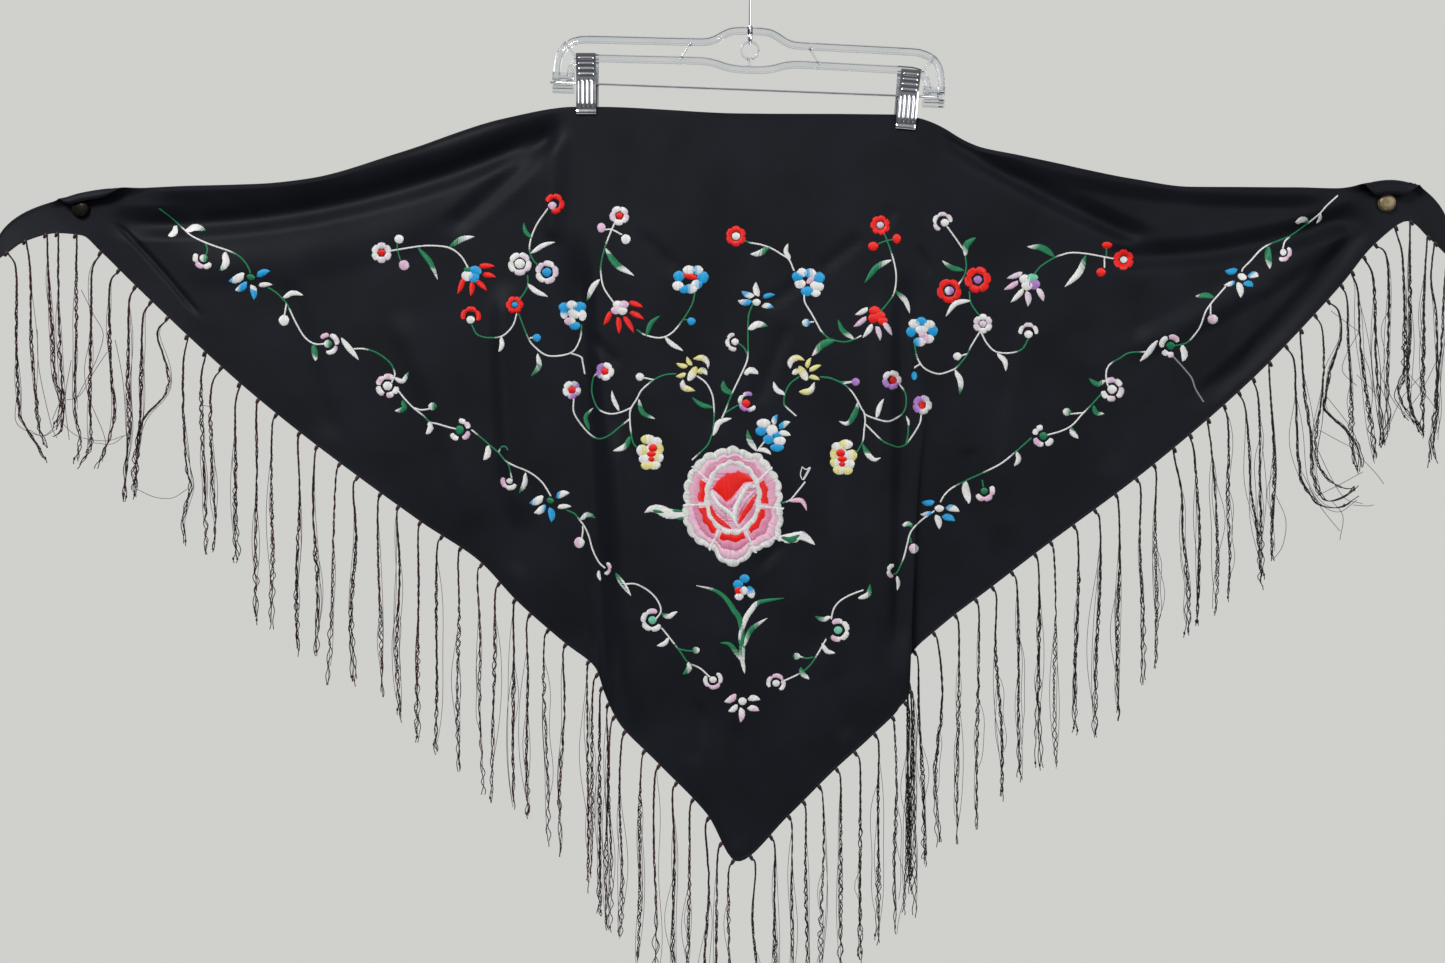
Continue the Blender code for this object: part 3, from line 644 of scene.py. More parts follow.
THREADS = {
    "W": (0.71, 0.705, 0.69),  # white
    "p": (0.74, 0.46, 0.58),  # pale pink
    "P": (0.64, 0.24, 0.36),  # deep pink
    "R": (0.76, 0.010, 0.006),  # red
    "B": (0.014, 0.31, 0.62),  # blue
    "G": (0.006, 0.18, 0.07),  # green
    "Y": (0.68, 0.64, 0.25),  # yellow
    "V": (0.39, 0.18, 0.50),  # violet
    "T": (0.16, 0.51, 0.35),  # sea green
    "S": (0.22, 0.21, 0.24),  # grey
    "l": (0.64, 0.54, 0.62),  # pale lilac
    "L": (0.66, 0.44, 0.58),  # lilac
}

# Stems: thread colours in order, then the points of the line
STEMS = (
    ("WWWWWW", 392, 251, 417, 247, 432, 246, 449, 248, 461, 256, 469, 269),
    ("GGG", 398, 243, 398, 250, 401, 261),
    ("WWWWGG", 548, 209, 537, 225, 531, 240, 530, 252, 534, 261, 539, 266),
    ("GGGG", 528, 276, 528, 286, 524, 294, 517, 303),
    ("WWWGGG", 517, 314, 513, 326, 503, 336, 490, 338, 478, 335, 472, 325),
    ("GGWWWWG", 519, 314, 528, 337, 535, 347, 549, 356, 571, 353, 580, 340, 582, 325),
    ("WW", 537, 338, 530, 338),
    ("WW", 806, 323, 814, 322),
    ("WW", 640, 377, 654, 380),
    ("WWWW", 570, 353, 581, 357, 583, 363, 585, 374),
    ("WWGGWWW", 615, 223, 611, 232, 606, 245, 602, 260, 601, 272, 604, 288, 614, 303),
    ("WWW", 605, 230, 612, 230, 622, 235),
    ("GGGWWWG", 695, 293, 692, 305, 683, 320, 672, 333, 660, 338, 645, 335, 637, 330),
    ("GG", 684, 320, 689, 320),
    ("GGGGWWWGWGGGW", 753, 304, 749, 314, 748, 325, 748, 339, 748, 354, 746, 364, 739, 379,
     731, 396, 724, 414, 717, 426, 712, 435, 707, 446, 692, 460),
    ("GGG", 738, 343, 744, 348, 747, 354),
    ("GGG", 724, 414, 735, 407, 742, 404),
    ("WWWWGG", 697, 376, 706, 383, 712, 394, 714, 407, 714, 422, 713, 430),
    ("GGGGWW", 799, 377, 790, 384, 785, 394, 784, 403, 786, 407, 796, 416),
    ("GWWWWWW", 745, 241, 750, 243, 761, 245, 772, 249, 782, 255, 789, 260, 794, 271),
    ("WWWWWGGGGW", 804, 295, 805, 303, 811, 313, 816, 322, 821, 331, 828, 338, 836, 341,
     846, 342, 855, 339, 861, 336),
    ("WW", 757, 451, 765, 441),
    ("GGG", 878, 244, 887, 241, 893, 240),
    ("GGWWWGG", 884, 234, 887, 241, 893, 259, 896, 276, 894, 293, 887, 304, 880, 312),
    ("GGWWWWGGWW", 914, 339, 915, 349, 918, 360, 925, 369, 938, 374, 950, 371, 957, 367,
     966, 356, 971, 346, 979, 333),
    ("WW", 961, 356, 967, 354),
    ("WW", 914, 368, 920, 364),
    ("WWWGGGW", 947, 227, 957, 241, 964, 252, 965, 256, 966, 267, 964, 276, 958, 285),
    ("GGG", 969, 292, 971, 304, 980, 317),
    ("WWWWGG", 981, 333, 987, 344, 996, 352, 1011, 353, 1022, 349, 1028, 339),
    ("GGGWWWWW", 1033, 276, 1040, 267, 1054, 258, 1062, 255, 1071, 253, 1086, 254,
     1103, 257, 1113, 259),
    ("GG", 1106, 256, 1106, 249),
    ("WW", 1104, 257, 1104, 268),
    ("WWWWGGGW", 574, 399, 574, 412, 581, 424, 591, 435, 600, 439, 610, 435,
     620, 427, 630, 419),
    ("WGGGGWWWW", 599, 373, 594, 377, 592, 388, 593, 397, 597, 407, 603, 412,
     612, 414, 622, 412, 631, 408),
    ("GGGWWWWWGG", 676, 374, 665, 375, 654, 380, 642, 390, 637, 399, 631, 409,
     630, 419, 631, 431, 633, 442, 637, 448),
    ("GGGGWWWWWWGG", 820, 377, 832, 379, 843, 384, 851, 391, 857, 400, 861, 408,
     864, 413, 865, 421, 864, 430, 863, 440, 860, 447, 856, 453),
    ("WW", 843, 384, 852, 382),
    ("WWGGGGWWWWWW", 897, 382, 902, 388, 905, 393, 906, 398, 906, 403, 905, 409,
     902, 414, 898, 417, 890, 421, 883, 421, 870, 417, 864, 414),
    ("WWWWGGGGWWW", 921, 415, 920, 422, 916, 430, 910, 439, 905, 445, 898, 447,
     891, 445, 884, 442, 879, 438, 873, 432, 865, 424),
    ("GGG", 906, 444, 908, 433, 908, 425),
    # Right iris's stem, grass and bottom sprays
    ("GGGW", 821, 377, 830, 378, 840, 382, 851, 382),
    ("WWWWWW", 625, 584, 636, 584, 649, 591, 658, 601, 661, 611, 656, 619),
    ("WWGGWW", 662, 628, 670, 638, 680, 651, 688, 662, 700, 668, 710, 677),
    ("GGG", 677, 648, 684, 650, 693, 651),
    ("WWWWWW", 863, 590, 852, 594, 841, 600, 834, 608, 831, 619),
    ("WWGGWW", 826, 639, 822, 646, 818, 653, 810, 665, 800, 673, 781, 682),
    ("GGW", 813, 657, 806, 658, 799, 656),
    ("GWWW", 782, 503, 790, 500, 797, 492, 805, 482),
    # Left border
    ("GGGWWWWWGGG", 160, 209, 173, 219, 185, 230, 192, 236, 204, 242, 217, 247,
     229, 251, 239, 256, 246, 263, 250, 270, 251, 274),
    ("GGG", 206, 244, 208, 249, 207, 255),
    ("GGGWWWWW", 269, 288, 277, 293, 284, 300, 288, 305, 296, 322, 305, 337,
     315, 344, 326, 344),
    ("WW", 287, 304, 285, 316),
    ("WWGGGGWW", 354, 349, 364, 349, 375, 352, 385, 358, 392, 365, 395, 372,
     395, 376, 392, 383),
    ("WWWWGWWW", 398, 390, 406, 400, 414, 408, 424, 416, 430, 422, 438, 424,
     448, 427, 456, 429),
    ("WWW", 414, 408, 422, 410, 430, 409),
    ("WGGGGWWWWWW", 472, 430, 483, 439, 491, 446, 499, 453, 506, 461, 515, 466, 525, 470,
     534, 475, 542, 482, 547, 489, 551, 496),
    ("WGGG", 499, 452, 502, 447, 506, 447, 508, 450),
    ("GGW", 508, 462, 510, 469, 512, 478),
    ("GGWWWWWW", 567, 510, 575, 514, 580, 520, 585, 527, 589, 536, 593, 550,
     599, 562, 605, 568),
    ("WWW", 583, 526, 583, 532, 582, 538),
    # Right border
    ("WWWWGGGGWWWW", 1337, 196, 1326, 206, 1319, 214, 1308, 223, 1300, 229,
     1290, 236, 1283, 239, 1268, 245, 1259, 251, 1250, 261, 1243, 268, 1241, 272),
    ("WWW", 1289, 237, 1284, 242, 1282, 249),
    ("WWWWWWGG", 1225, 287, 1217, 296, 1211, 303, 1205, 312, 1200, 326, 1194, 335,
     1186, 343, 1174, 346),
    ("WW", 1210, 304, 1210, 315),
    ("SSSSS", 1173, 357, 1183, 368, 1191, 378, 1195, 389, 1203, 402),
    ("WGGGWWW", 1146, 352, 1129, 353, 1120, 358, 1110, 364, 1106, 371, 1106, 381,
     1108, 387),
    ("GGWWWW", 1101, 394, 1091, 405, 1082, 414, 1072, 425, 1061, 431, 1047, 435),
    ("WW", 1082, 413, 1070, 414),
    ("GGWWGGWW", 1031, 438, 1022, 446, 1014, 453, 1000, 464, 980, 474, 955, 486, 945, 494,
     940, 502),
    ("GG", 982, 480, 983, 487),
    ("WWWWWWGG", 934, 511, 924, 518, 916, 525, 910, 533, 907, 544, 903, 559,
     897, 572, 893, 574),
    ("GG", 910, 537, 911, 543),
)

# Fine single threads: the outline of an unworked bud and a few veins
OUTLINES = (
    ("WWWWWWW", 802, 467, 800.4, 475, 803.4, 479.5, 808.3, 472, 810, 467.5, 806, 469.5, 802, 467),
    ("WWW", 803.4, 478.6, 806, 474, 809, 468),
)

# Leaves: width, thread colours from base to tip, then the points of the middle line
LEAVES = (
    (6, "GW", 450, 247, 461, 240, 474.5, 237), (5.5, "GGW", 418.5, 248, 430, 262, 438, 279.5),
    (4.5, "G", 532, 239, 526, 232, 524, 223), (5, "W", 531, 253.5, 543, 246, 555, 242.5),
    (5.5, "W", 528, 284, 537, 292, 548, 297), (5, "W", 502, 337, 502, 345, 499, 352),
    (5.5, "WG", 538, 354, 539, 366, 531.5, 376.5), (7, "WGGWW", 606, 249, 617, 265, 634, 276),
    (6, "WWG", 600, 280, 592, 289, 587, 301), (5, "G", 646, 336, 651, 324, 660, 316),
    (5, "W", 665, 337, 673, 345, 683, 351), (7.5, "WWG", 748, 329, 757, 325, 767.5, 326.5),
    (7.5, "W", 744, 373, 751, 371, 758, 374), (7, "G", 731.5, 395, 725, 389, 723.5, 381),
    (6, "W", 713, 435.5, 719, 423, 731.5, 418.5), (5, "G", 713, 408, 702, 405, 692, 397.5),
    (5.5, "W", 784.5, 395, 777, 390, 773.5, 382), (6.5, "GW", 769.5, 248, 760, 253, 750.5, 254.5),
    (5, "W", 790, 259.5, 786, 252, 788, 244), (7.5, "GGW", 835.5, 340.5, 822, 345, 812, 356),
    (5.5, "WGG", 853.5, 339.5, 843, 331, 838, 320), (6, "WG", 756, 451, 750, 441, 747.5, 430),
    (5, "W", 757.5, 450, 764, 450, 771, 454.5), (6, "WGG", 891, 260.5, 876, 268, 864.5, 283),
    (5.5, "GWW", 896, 291, 905, 301, 909.5, 313.5), (6, "WWG", 955, 370, 960, 381, 959.5, 394.5),
    (7, "WGG", 964.5, 256, 966, 246, 975.5, 238), (5.5, "GGW", 963.5, 271, 952, 268, 942, 261),
    (5.5, "W", 970, 301, 955, 304, 945.5, 316.5), (5.5, "W", 997, 353.5, 1004, 361, 1005.5, 371),
    (7, "GGW", 1053.5, 257, 1041, 248, 1027, 247), (7, "GWW", 1085.5, 256, 1079, 272, 1064.5, 287),
    (4.5, "W", 619, 411, 614, 400, 612, 391), (5, "WGGW", 639, 399.5, 643, 413, 655, 419),
    (4.5, "GGGW", 589.5, 430.5, 586, 417.5, 593.5, 408), (6, "GGWW", 631, 436.5, 625.5, 446, 613.5, 451),
    (5, "W", 876, 418, 879, 408, 883.5, 399), (2.5, "W", 908.5, 426, 908, 421, 906, 416),
    (6, "WGGGWW", 857.5, 403, 856, 411, 850.5, 420.5, 846, 423.5, 839, 421.5),
    (5.5, "GGWWW", 862.5, 444, 866, 451, 869.5, 456.5, 874.5, 460, 880.5, 458),
    (5.5, "GWW", 616, 573, 624, 585.5, 631, 595.5), (5.5, "GWW", 661.5, 613, 669, 616, 677.5, 611.5),
    (5, "W", 669, 638, 665, 643, 657, 645.5), (6, "WG", 689, 662, 689, 668, 683, 674),
    (5.5, "WG", 858, 598, 868, 594, 870, 584), (5, "WG", 831, 617, 823, 619, 815, 616),
    (5, "W", 822, 643, 827, 651, 835, 653), (5.5, "GW", 801, 667, 803, 674, 809, 679),
    (5.5, "WGGGW", 744, 664, 741, 624, 733.5, 609.5, 724.5, 597, 713, 589.5, 696.5, 585.5),
    (5.5, "GWWGG", 740.5, 648, 740, 636.5, 745, 620, 751.5, 609.5, 760, 602, 784, 598),
    (5, "WGG", 742.5, 662, 736, 652, 729.5, 644, 720, 642.5), (5, "WGW", 743, 648, 751, 630, 767, 618),
    (4.5, "WG", 744.5, 673, 741, 652, 741, 640),
    (11, "W", 686, 516, 669, 513.5, 659, 509, 651, 508.5, 645, 512.5),
    (10.5, "W", 775, 538, 788, 538, 796.5, 537, 803.5, 537, 814.5, 544.5),
    (5, "p", 789, 501, 797.5, 500, 803, 502.5, 806.5, 510.5),
    (7, "W", 177.5, 226.5, 175, 232, 169, 236), (7.5, "WWG", 186.5, 230.5, 196, 228, 206.5, 231),
    (8, "WWWG", 226.5, 252.5, 226, 263, 220.5, 271), (5.5, "W", 283.5, 298, 293, 293.5, 303.5, 295.5),
    (7, "GGW", 315, 344.5, 315, 353, 316, 361), (6, "W", 342, 338, 350, 349, 359, 360),
    (5, "WWG", 394.5, 377.5, 403, 381, 409.5, 372), (6, "GGW", 403.5, 400.5, 404, 408.5, 395.5, 411),
    (6.5, "W", 430.5, 422, 430.5, 428, 426.5, 434), (7, "W", 489.5, 446, 488, 453, 484, 460),
    (5.5, "WWG", 526, 473, 525, 483, 519.5, 493), (5.5, "WG", 580, 519.5, 587.5, 515, 595.5, 518),
    (3.5, "GGW", 616, 574, 624, 585.5, 631, 595.5), (4, "W", 599.5, 570.5, 599, 576, 600.5, 580.5),
    (4, "W", 1320, 213.5, 1319, 219, 1315.5, 223.5), (7.5, "GWW", 1307, 222.5, 1301, 220.5, 1294.5, 222.5),
    (7.5, "GGW", 1268.5, 247, 1267.5, 258, 1269, 269), (6, "GGGW", 1213, 298, 1204, 295.5, 1195, 296.5),
    (7.5, "W", 1182.5, 345.5, 1183.5, 354, 1182, 361.5), (6, "W", 1157, 341, 1149, 351, 1139.5, 361.5),
    (5.5, "WGG", 1105, 381, 1097, 384, 1088.5, 378.5), (5, "GGW", 1093.5, 405.5, 1096, 413, 1103.5, 414),
    (6, "GWW", 1071.5, 427.5, 1073, 434, 1077.5, 438.5), (5.5, "W", 1017, 452, 1018, 459, 1014, 466),
    (8.5, "W", 966, 481.5, 966, 493, 968.5, 503.5), (6, "GW", 911.5, 527, 907, 524, 902, 525),
    (4, "W", 897, 576, 898, 583, 897, 590),
)

# Green patches worked over the rose's two white leaves
LEAF_PATCHES = (
    (4.5, "G", 652.5, 510, 659, 511.5, 664.5, 513), (4, "G", 672, 510.5, 678, 511, 683, 511.5),
    (5, "G", 678, 518, 680.5, 518.5, 684, 519), (7.5, "G", 781, 536.5, 790, 539, 801, 534.5),
    (5, "G", 787, 541, 792, 540.5, 798, 539.5),
)

# Pointed petals and seeds: width, thread colours from base to tip, base and tip
SEEDS = (
    (5, "R", 480, 266, 495, 266.5), (5, "R", 484, 274, 496, 277.5), (5, "R", 477.5, 281, 487, 291),
    (5, "R", 473, 283, 471, 296.5), (5, "R", 464, 280, 458, 294),
    (5, "R", 630, 302, 643, 307.5), (5, "R", 631, 312, 644, 319.5), (5, "R", 625, 317, 634, 333),
    (5, "R", 619, 318, 619, 334), (5, "R", 611, 313, 604, 325),
    (6, "W", 756.5, 296, 756, 282.5), (6, "WB", 752.5, 297.5, 741.5, 291.5),
    (6.5, "BW", 750.5, 303.5, 738, 301), (4.5, "B", 763.5, 296.5, 775, 295),
    (5.5, "WB", 763, 305, 773.5, 308),
    (4.5, "Y", 690.5, 365.5, 687, 357), (4.5, "Y", 686.5, 367.5, 676.5, 363.5),
    (4.5, "Y", 685.5, 375, 676, 376.5), (4.5, "Y", 806, 367, 811, 358), (4.5, "Y", 809.5, 370, 821, 365.5),
    (4.5, "Y", 810, 376, 819.5, 380), (5.5, "WB", 772.5, 423.5, 777.5, 415),
    (6, "BW", 779, 427, 790, 422), (5.5, "W", 779.5, 432, 790.5, 435.5),
    (5, "W", 867.5, 309.5, 855, 315), (5, "L", 866, 318.5, 853.5, 327), (5, "W", 872.5, 325.5, 862.5, 338),
    (5, "l", 877.5, 327, 880, 340.5), (5, "l", 884.5, 323, 891.5, 335.5),
    (5, "l", 1021.5, 274, 1006.5, 278.5), (5, "L", 1017.5, 283, 1003.5, 290),
    (5, "W", 1023, 290.5, 1010.5, 302.5), (6, "l", 1028, 292.5, 1027.5, 306.5),
    (5.5, "WL", 1038.5, 289, 1043, 301.5),
    (8, "WWB", 244.5, 276.5, 229.5, 281.5), (7, "BBW", 247.5, 285, 236, 290.5),
    (6.5, "WBB", 254, 286, 254.5, 300), (6.5, "B", 258, 274.5, 270.5, 271.5),
    (4.5, "W", 260, 285, 273, 285),
    (7.5, "WWB", 543, 499, 529.5, 503), (6.5, "BWW", 546, 507.5, 534.5, 513),
    (6.5, "B", 552, 508.5, 551.5, 522), (6.5, "BWW", 557, 495, 569.5, 493),
    (4.5, "W", 558.5, 506.5, 571.5, 506.5),
    (6.5, "B", 1235.5, 272, 1224.5, 271), (7, "BWW", 1249, 274, 1257.5, 277),
    (6.5, "B", 1245, 282, 1252, 287), (6.5, "W", 1239, 283.5, 1240, 298),
    (4.5, "BWW", 1234, 283, 1223.5, 285.5),
    (6, "B", 933, 503.5, 921.5, 502), (6.5, "BWW", 947, 506, 959, 511.5),
    (6.5, "B", 943.5, 515, 954.5, 521), (6, "W", 937.5, 515.5, 939, 529), (4.5, "BW", 931, 513.5, 920, 514.5),
    (6.5, "LW", 736, 696.5, 724.5, 701.5), (5.5, "W", 737.5, 706.5, 728.5, 711),
    (6, "WL", 742.5, 708.5, 740.5, 722), (6, "WL", 749, 706.5, 759, 710.5), (6, "W", 749, 697, 760, 699.5),
)

# Buds and lumps: thread colours, middle, half sizes and, where they lean, by how many degrees
LUMPS = (
    ("W", 399.5, 239.5, 4.5, 4.5), ("L", 404.5, 265.5, 5, 5, 30), ("R", 382, 253, 3.5, 3.5),
    ("W", 467.5, 276, 4.5, 4.5), ("B", 476, 271, 5, 4, 20), ("B", 474, 277.5, 4.5, 4.5),
    ("G", 468, 270, 3, 2.5), ("L", 552.5, 206, 4, 4), ("W", 520, 264, 5, 5),
    ("B", 547, 272.5, 4.5, 4.5), ("B", 515, 305, 3, 3), ("W", 471, 320, 4, 4),
    ("B", 537, 338, 4, 4), ("B", 564.5, 307.5, 4.5, 4), ("B", 580, 307.5, 5.5, 4.5),
    ("B", 575, 326, 4.5, 3.5), ("W", 572, 305.5, 4.5, 4), ("W", 582.5, 315.5, 3.5, 4.5),
    ("W", 574, 314, 5, 4, 20), ("BW", 564.5, 313.5, 3.5, 4.5), ("LW", 570, 321.5, 4.5, 3.5),
    ("R", 619.5, 216, 3, 3.5), ("L", 601.5, 228, 4, 5), ("W", 626, 239.5, 4.5, 5),
    ("W", 618, 305, 4, 3.5), ("L", 624, 305, 4, 3.5), ("L", 616, 310.5, 4, 3.5),
    ("W", 622.5, 311, 4, 3.5),
    ("B", 679, 276.5, 4.5, 4.5), ("B", 703, 277.5, 4.5, 5), ("BW", 690.5, 289, 5.5, 4),
    ("W", 689, 270.5, 5, 4), ("BW", 697.5, 270.5, 4.5, 4), ("WB", 697, 284.5, 4.5, 4),
    ("W", 678, 286, 4.5, 4), ("B", 684, 289.5, 4, 3.5), ("R", 690, 276.5, 6, 2.5, 12),
    ("B", 691.5, 321.5, 4, 4), ("W", 756.5, 302.5, 4, 3.5), ("W", 735, 342, 3.5, 3.5),
    ("R", 746, 403.5, 4, 4), ("YW", 692.5, 374, 4, 8, 30), ("YW", 803, 373.5, 4, 8, -30),
    ("W", 736, 236.5, 4, 4), ("B", 797.5, 277, 4.5, 4.5), ("B", 819, 278, 4.5, 5),
    ("B", 807, 291.5, 5, 4), ("W", 802, 273, 4, 4), ("BW", 810, 273.5, 5, 4),
    ("W", 800, 284, 4.5, 4), ("W", 815.5, 286, 4.5, 4), ("W", 820, 287, 3, 3.5),
    ("W", 815.5, 293.5, 4, 3), ("L", 810.5, 280.5, 4, 2.5, -40), ("WB", 806, 323, 4, 4),
    ("W", 763.5, 423.5, 5.5, 4), ("W", 772, 430.5, 4.5, 5), ("W", 779.5, 441, 5, 4),
    ("B", 761, 431, 4.5, 4), ("B", 776.5, 434.5, 3.5, 3), ("B", 768.5, 439.5, 4.5, 4),
    ("B", 777, 447.5, 5.5, 3.5), ("V", 855.5, 382, 4, 4), ("l", 880, 225.5, 3.5, 3.5),
    ("R", 873, 246.5, 5, 4.5), ("R", 896.5, 239, 4, 5), ("R", 874.5, 311, 4.5, 4),
    ("R", 880, 316, 4, 4.5), ("R", 882.5, 321, 4, 3.5), ("R", 873, 318.5, 4, 4),
    ("W", 914, 324, 4.5, 4), ("W", 929, 325, 4.5, 4), ("B", 921, 322, 4.5, 4),
    ("B", 932.5, 331, 4, 5), ("B", 911, 332, 4, 4.5), ("BW", 919.5, 342, 5, 4),
    ("LW", 928, 339, 4.5, 4), ("W", 921.5, 330, 5, 4), ("L", 923, 335.5, 3.5, 2.5),
    ("B", 914, 376, 3, 4), ("W", 957, 356.5, 4, 4), ("W", 944.5, 223, 4, 4),
    ("WV", 949, 291, 4.5, 4.5), ("V", 977.5, 280, 4, 4), ("W", 1028, 334.5, 4, 4),
    ("W", 1024.5, 279.5, 4.5, 4), ("W", 1026.5, 286, 4.5, 4), ("V", 1034, 284.5, 4.5, 4.5),
    ("T", 1032, 278, 4.5, 3.5), ("R", 1106.5, 245.5, 5, 3.5), ("R", 1100.5, 272.5, 4.5, 4.5),
    ("W", 1123, 260, 3.5, 3.5), ("R", 572, 390, 3.5, 3.5), ("R", 605, 371.5, 3.5, 3.5),
    ("W", 640, 377, 4, 4), ("R", 893, 380, 3.5, 4, 15), ("R", 922, 405, 3, 4),
    ("l", 982.5, 324, 3.5, 3.5), ("B", 744.5, 578.5, 4, 3.5),
    ("B", 738, 584.5, 4, 4), ("R", 738.5, 590.5, 3, 3.5), ("W", 744, 590.5, 3.5, 3.5),
    ("W", 739, 596.5, 3.5, 3), ("BW", 750.5, 592, 3.5, 5, -20), ("W", 742.5, 701, 4, 4),
    ("T", 652.5, 620, 4, 4), ("GW", 696, 650, 3.5, 3.5), ("W", 713, 679.5, 3.5, 3.5),
    ("T", 838, 630, 4, 4), ("GW", 796.5, 656, 3.5, 3.5), ("W", 776, 683, 3.5, 3.5),
    ("WG", 204.5, 258.5, 4, 4), ("G", 251.5, 277.5, 4, 3, 15), ("W", 284.5, 320.5, 5, 5.5),
    ("WG", 328.5, 344, 4, 4), ("W", 388, 386, 4.5, 4.5), ("WG", 433, 406.5, 4, 4),
    ("G", 460, 430, 4, 4.5), ("W", 510, 481, 3, 3), ("G", 550.5, 500.5, 3.5, 3, 15),
    ("LW", 579.5, 542.5, 5, 5.5), ("W", 1282.5, 252.5, 3, 3.5), ("W", 1241.5, 277, 4.5, 3.5, 20),
    ("LW", 1212, 319.5, 5, 5), ("G", 1170, 346, 4, 4), ("W", 1111.5, 389.5, 4.5, 4.5),
    ("WG", 1066.5, 412, 4, 4), ("G", 1043, 436, 4, 4), ("W", 939, 508.5, 4.5, 3.5),
    ("G", 984, 491, 3.5, 3.5), ("LW", 913.5, 548.5, 4.5, 5),
)

# Rings of petals: thread colours, middle, inner and outer radius, first and last angle, petals
RINGS = (
    ("WlWWlW", 382, 253, 4, 10.5, 0, 360, 6), ("R", 554.5, 204, 5, 10.5, -110, 165, 4),
    ("lWWlW", 520, 264, 6, 12, 20, 380, 5), ("WlWll", 547, 272.5, 6, 12, 40, 400, 5),
    ("R", 515, 305, 3.5, 9, 30, 390, 6), ("R", 471, 317, 5.5, 10.5, -30, 200, 3),
    ("lWlWl", 619.5, 216, 4, 10, 10, 370, 5), ("lWl", 735, 342, 5.5, 10, 95, 280, 3),
    ("VWVW", 748, 402, 6, 10.5, 60, 330, 4), ("R", 736, 236.5, 4.5, 10.5, 0, 360, 6),
    ("R", 880, 225.5, 4, 10, 0, 360, 7), ("WlWl", 942.5, 222.5, 6, 10.5, 0, 250, 4),
    ("R", 949, 291, 6, 12.5, 15, 375, 5), ("R", 977.5, 280, 6, 13.5, 40, 400, 6),
    ("lWlWW", 982.5, 324, 4, 10, 0, 360, 6), ("WlW", 1028, 333, 6, 10.5, -10, 190, 3),
    ("R", 1123, 260, 4, 10.5, 0, 360, 6), ("VWWVW", 572, 390, 3.5, 9.5, 20, 380, 5),
    ("VVWWW", 605, 371.5, 3.5, 9.5, 100, 460, 5), ("WWVVW", 891.5, 380, 4, 10, 30, 390, 5),
    ("WVVWW", 922, 405, 3.5, 10, 30, 390, 5), ("LWWW", 652.5, 620, 6.5, 12, 60, 330, 4),
    ("WLW", 713, 679.5, 5.5, 10, 150, 420, 3), ("LWWL", 838, 630, 6.5, 12, -140, 130, 4),
    ("WLW", 776, 683, 5.5, 10, -60, 210, 3), ("WWLLWW", 204.5, 258.5, 6, 11.5, 148, 325, 3),
    ("LLL", 328.5, 344, 6.5, 11.5, 85, 140, 1), ("WlWW", 328.5, 344, 6.5, 12, -5, 75, 1),
    ("WWL", 328.5, 344, 6.5, 11.5, 260, 345, 1), ("WLWLW", 388, 386, 6.5, 12.5, 55, 175, 2),
    ("WWL", 388, 386, 6.5, 12.5, 182, 245, 1), ("LWW", 388, 386, 6.5, 12.5, 262, 355, 2),
    ("WlWW", 460, 430, 6.5, 12, 10, 95, 2), ("LL", 460, 430, 6.5, 12, 290, 350, 1),
    ("WW", 460, 430, 6.5, 12, 205, 260, 1), ("LLWW", 510, 481, 4.5, 9.5, 150, 330, 2),
    ("WLW", 604, 568, 4, 8, -80, 60, 2), ("WLLW", 1282, 252.5, 5, 9.5, 240, 400, 2),
    ("WLL", 1170, 346, 6, 12, 30, 100, 1), ("WW", 1170, 346, 6, 12, 112, 188, 1),
    ("WWL", 1170, 346, 6, 12, 212, 290, 2), ("WWLW", 1111.5, 389.5, 6.5, 12.5, 20, 125, 2),
    ("Wl", 1111.5, 389.5, 6.5, 12.5, -55, 12, 1), ("WWL", 1111.5, 389.5, 6.5, 12.5, 190, 290, 2),
    ("WW", 1043, 436, 6, 12, 95, 172, 2), ("LLW", 1043, 436, 6, 12, 195, 268, 1),
    ("WW", 1043, 436, 6, 12, 285, 342, 1), ("WLLW", 984, 491, 5.5, 11, 205, 395, 3),
    ("WWL", 894.5, 571, 4, 8.5, 100, 250, 2),
)

# Lobed flowers worked solid: each is a row of petal lumps round a red heart
YELLOW_FLOWERS = (
    # middle, lean of the whole flower
    (651, 452.5, 1), (842.5, 457.5, -1),
)
YELLOW_PETALS = (
    # thread colours, offset from the middle (to the right where the lean is 1), half sizes
    ("YW", -3, -13, 6.5, 4.6), ("W", 5.5, -10.5, 5, 4.6), ("Y", 8, -3.5, 4.4, 5.6), ("YW", 7.5, 5, 4.6, 5),
    ("YW", 3, 12.5, 6, 4.4), ("Y", -4.5, 13, 5, 4), ("W", -6.5, 6.5, 5, 5), ("WY", -8.5, -2, 5.4, 5.6),
    ("W", 0, 1, 6, 9),
)
YELLOW_HEART = (
    # offset from the middle, half sizes
    (2.0, -4.5, 4.0, 4.6), (0.4, 1.6, 4.2, 3.4), (0.4, 6.6, 2.8, 3.2),
)

# Iris wings: width, then the points
IRIS_WINGS = (
    (5, "YW", 693.5, 359, 702.5, 358, 707.5, 363, 708, 368.5),
    (5.5, "WY", 683, 380, 684, 387.5, 695, 391),
    (5.5, "YW", 697, 372, 703, 371, 707, 375),
    (5.5, "WY", 790, 368.5, 790.5, 361.5, 797, 358, 804.5, 360.5),
    (5.5, "YW", 799, 392, 810, 391, 814.5, 382.5),
    (5, "WY", 792, 374, 797, 371.5, 801, 374),
)

STITCH_PITCH = 0.74
STITCH_HALF_WIDTH = 0.43
STITCH_CREST = 0.2
STITCH_SINK = 0.12
REVERSE_LIFT = 0.6
# A stitch from end to end: share of its length, and its height there as a share of its lift
ARCHED = ((0.0, -0.15), (0.2, 1.0), (0.8, 1.0), (1.0, -0.15))
FLAT = ((0.0, 0.35), (1.0, 0.35))
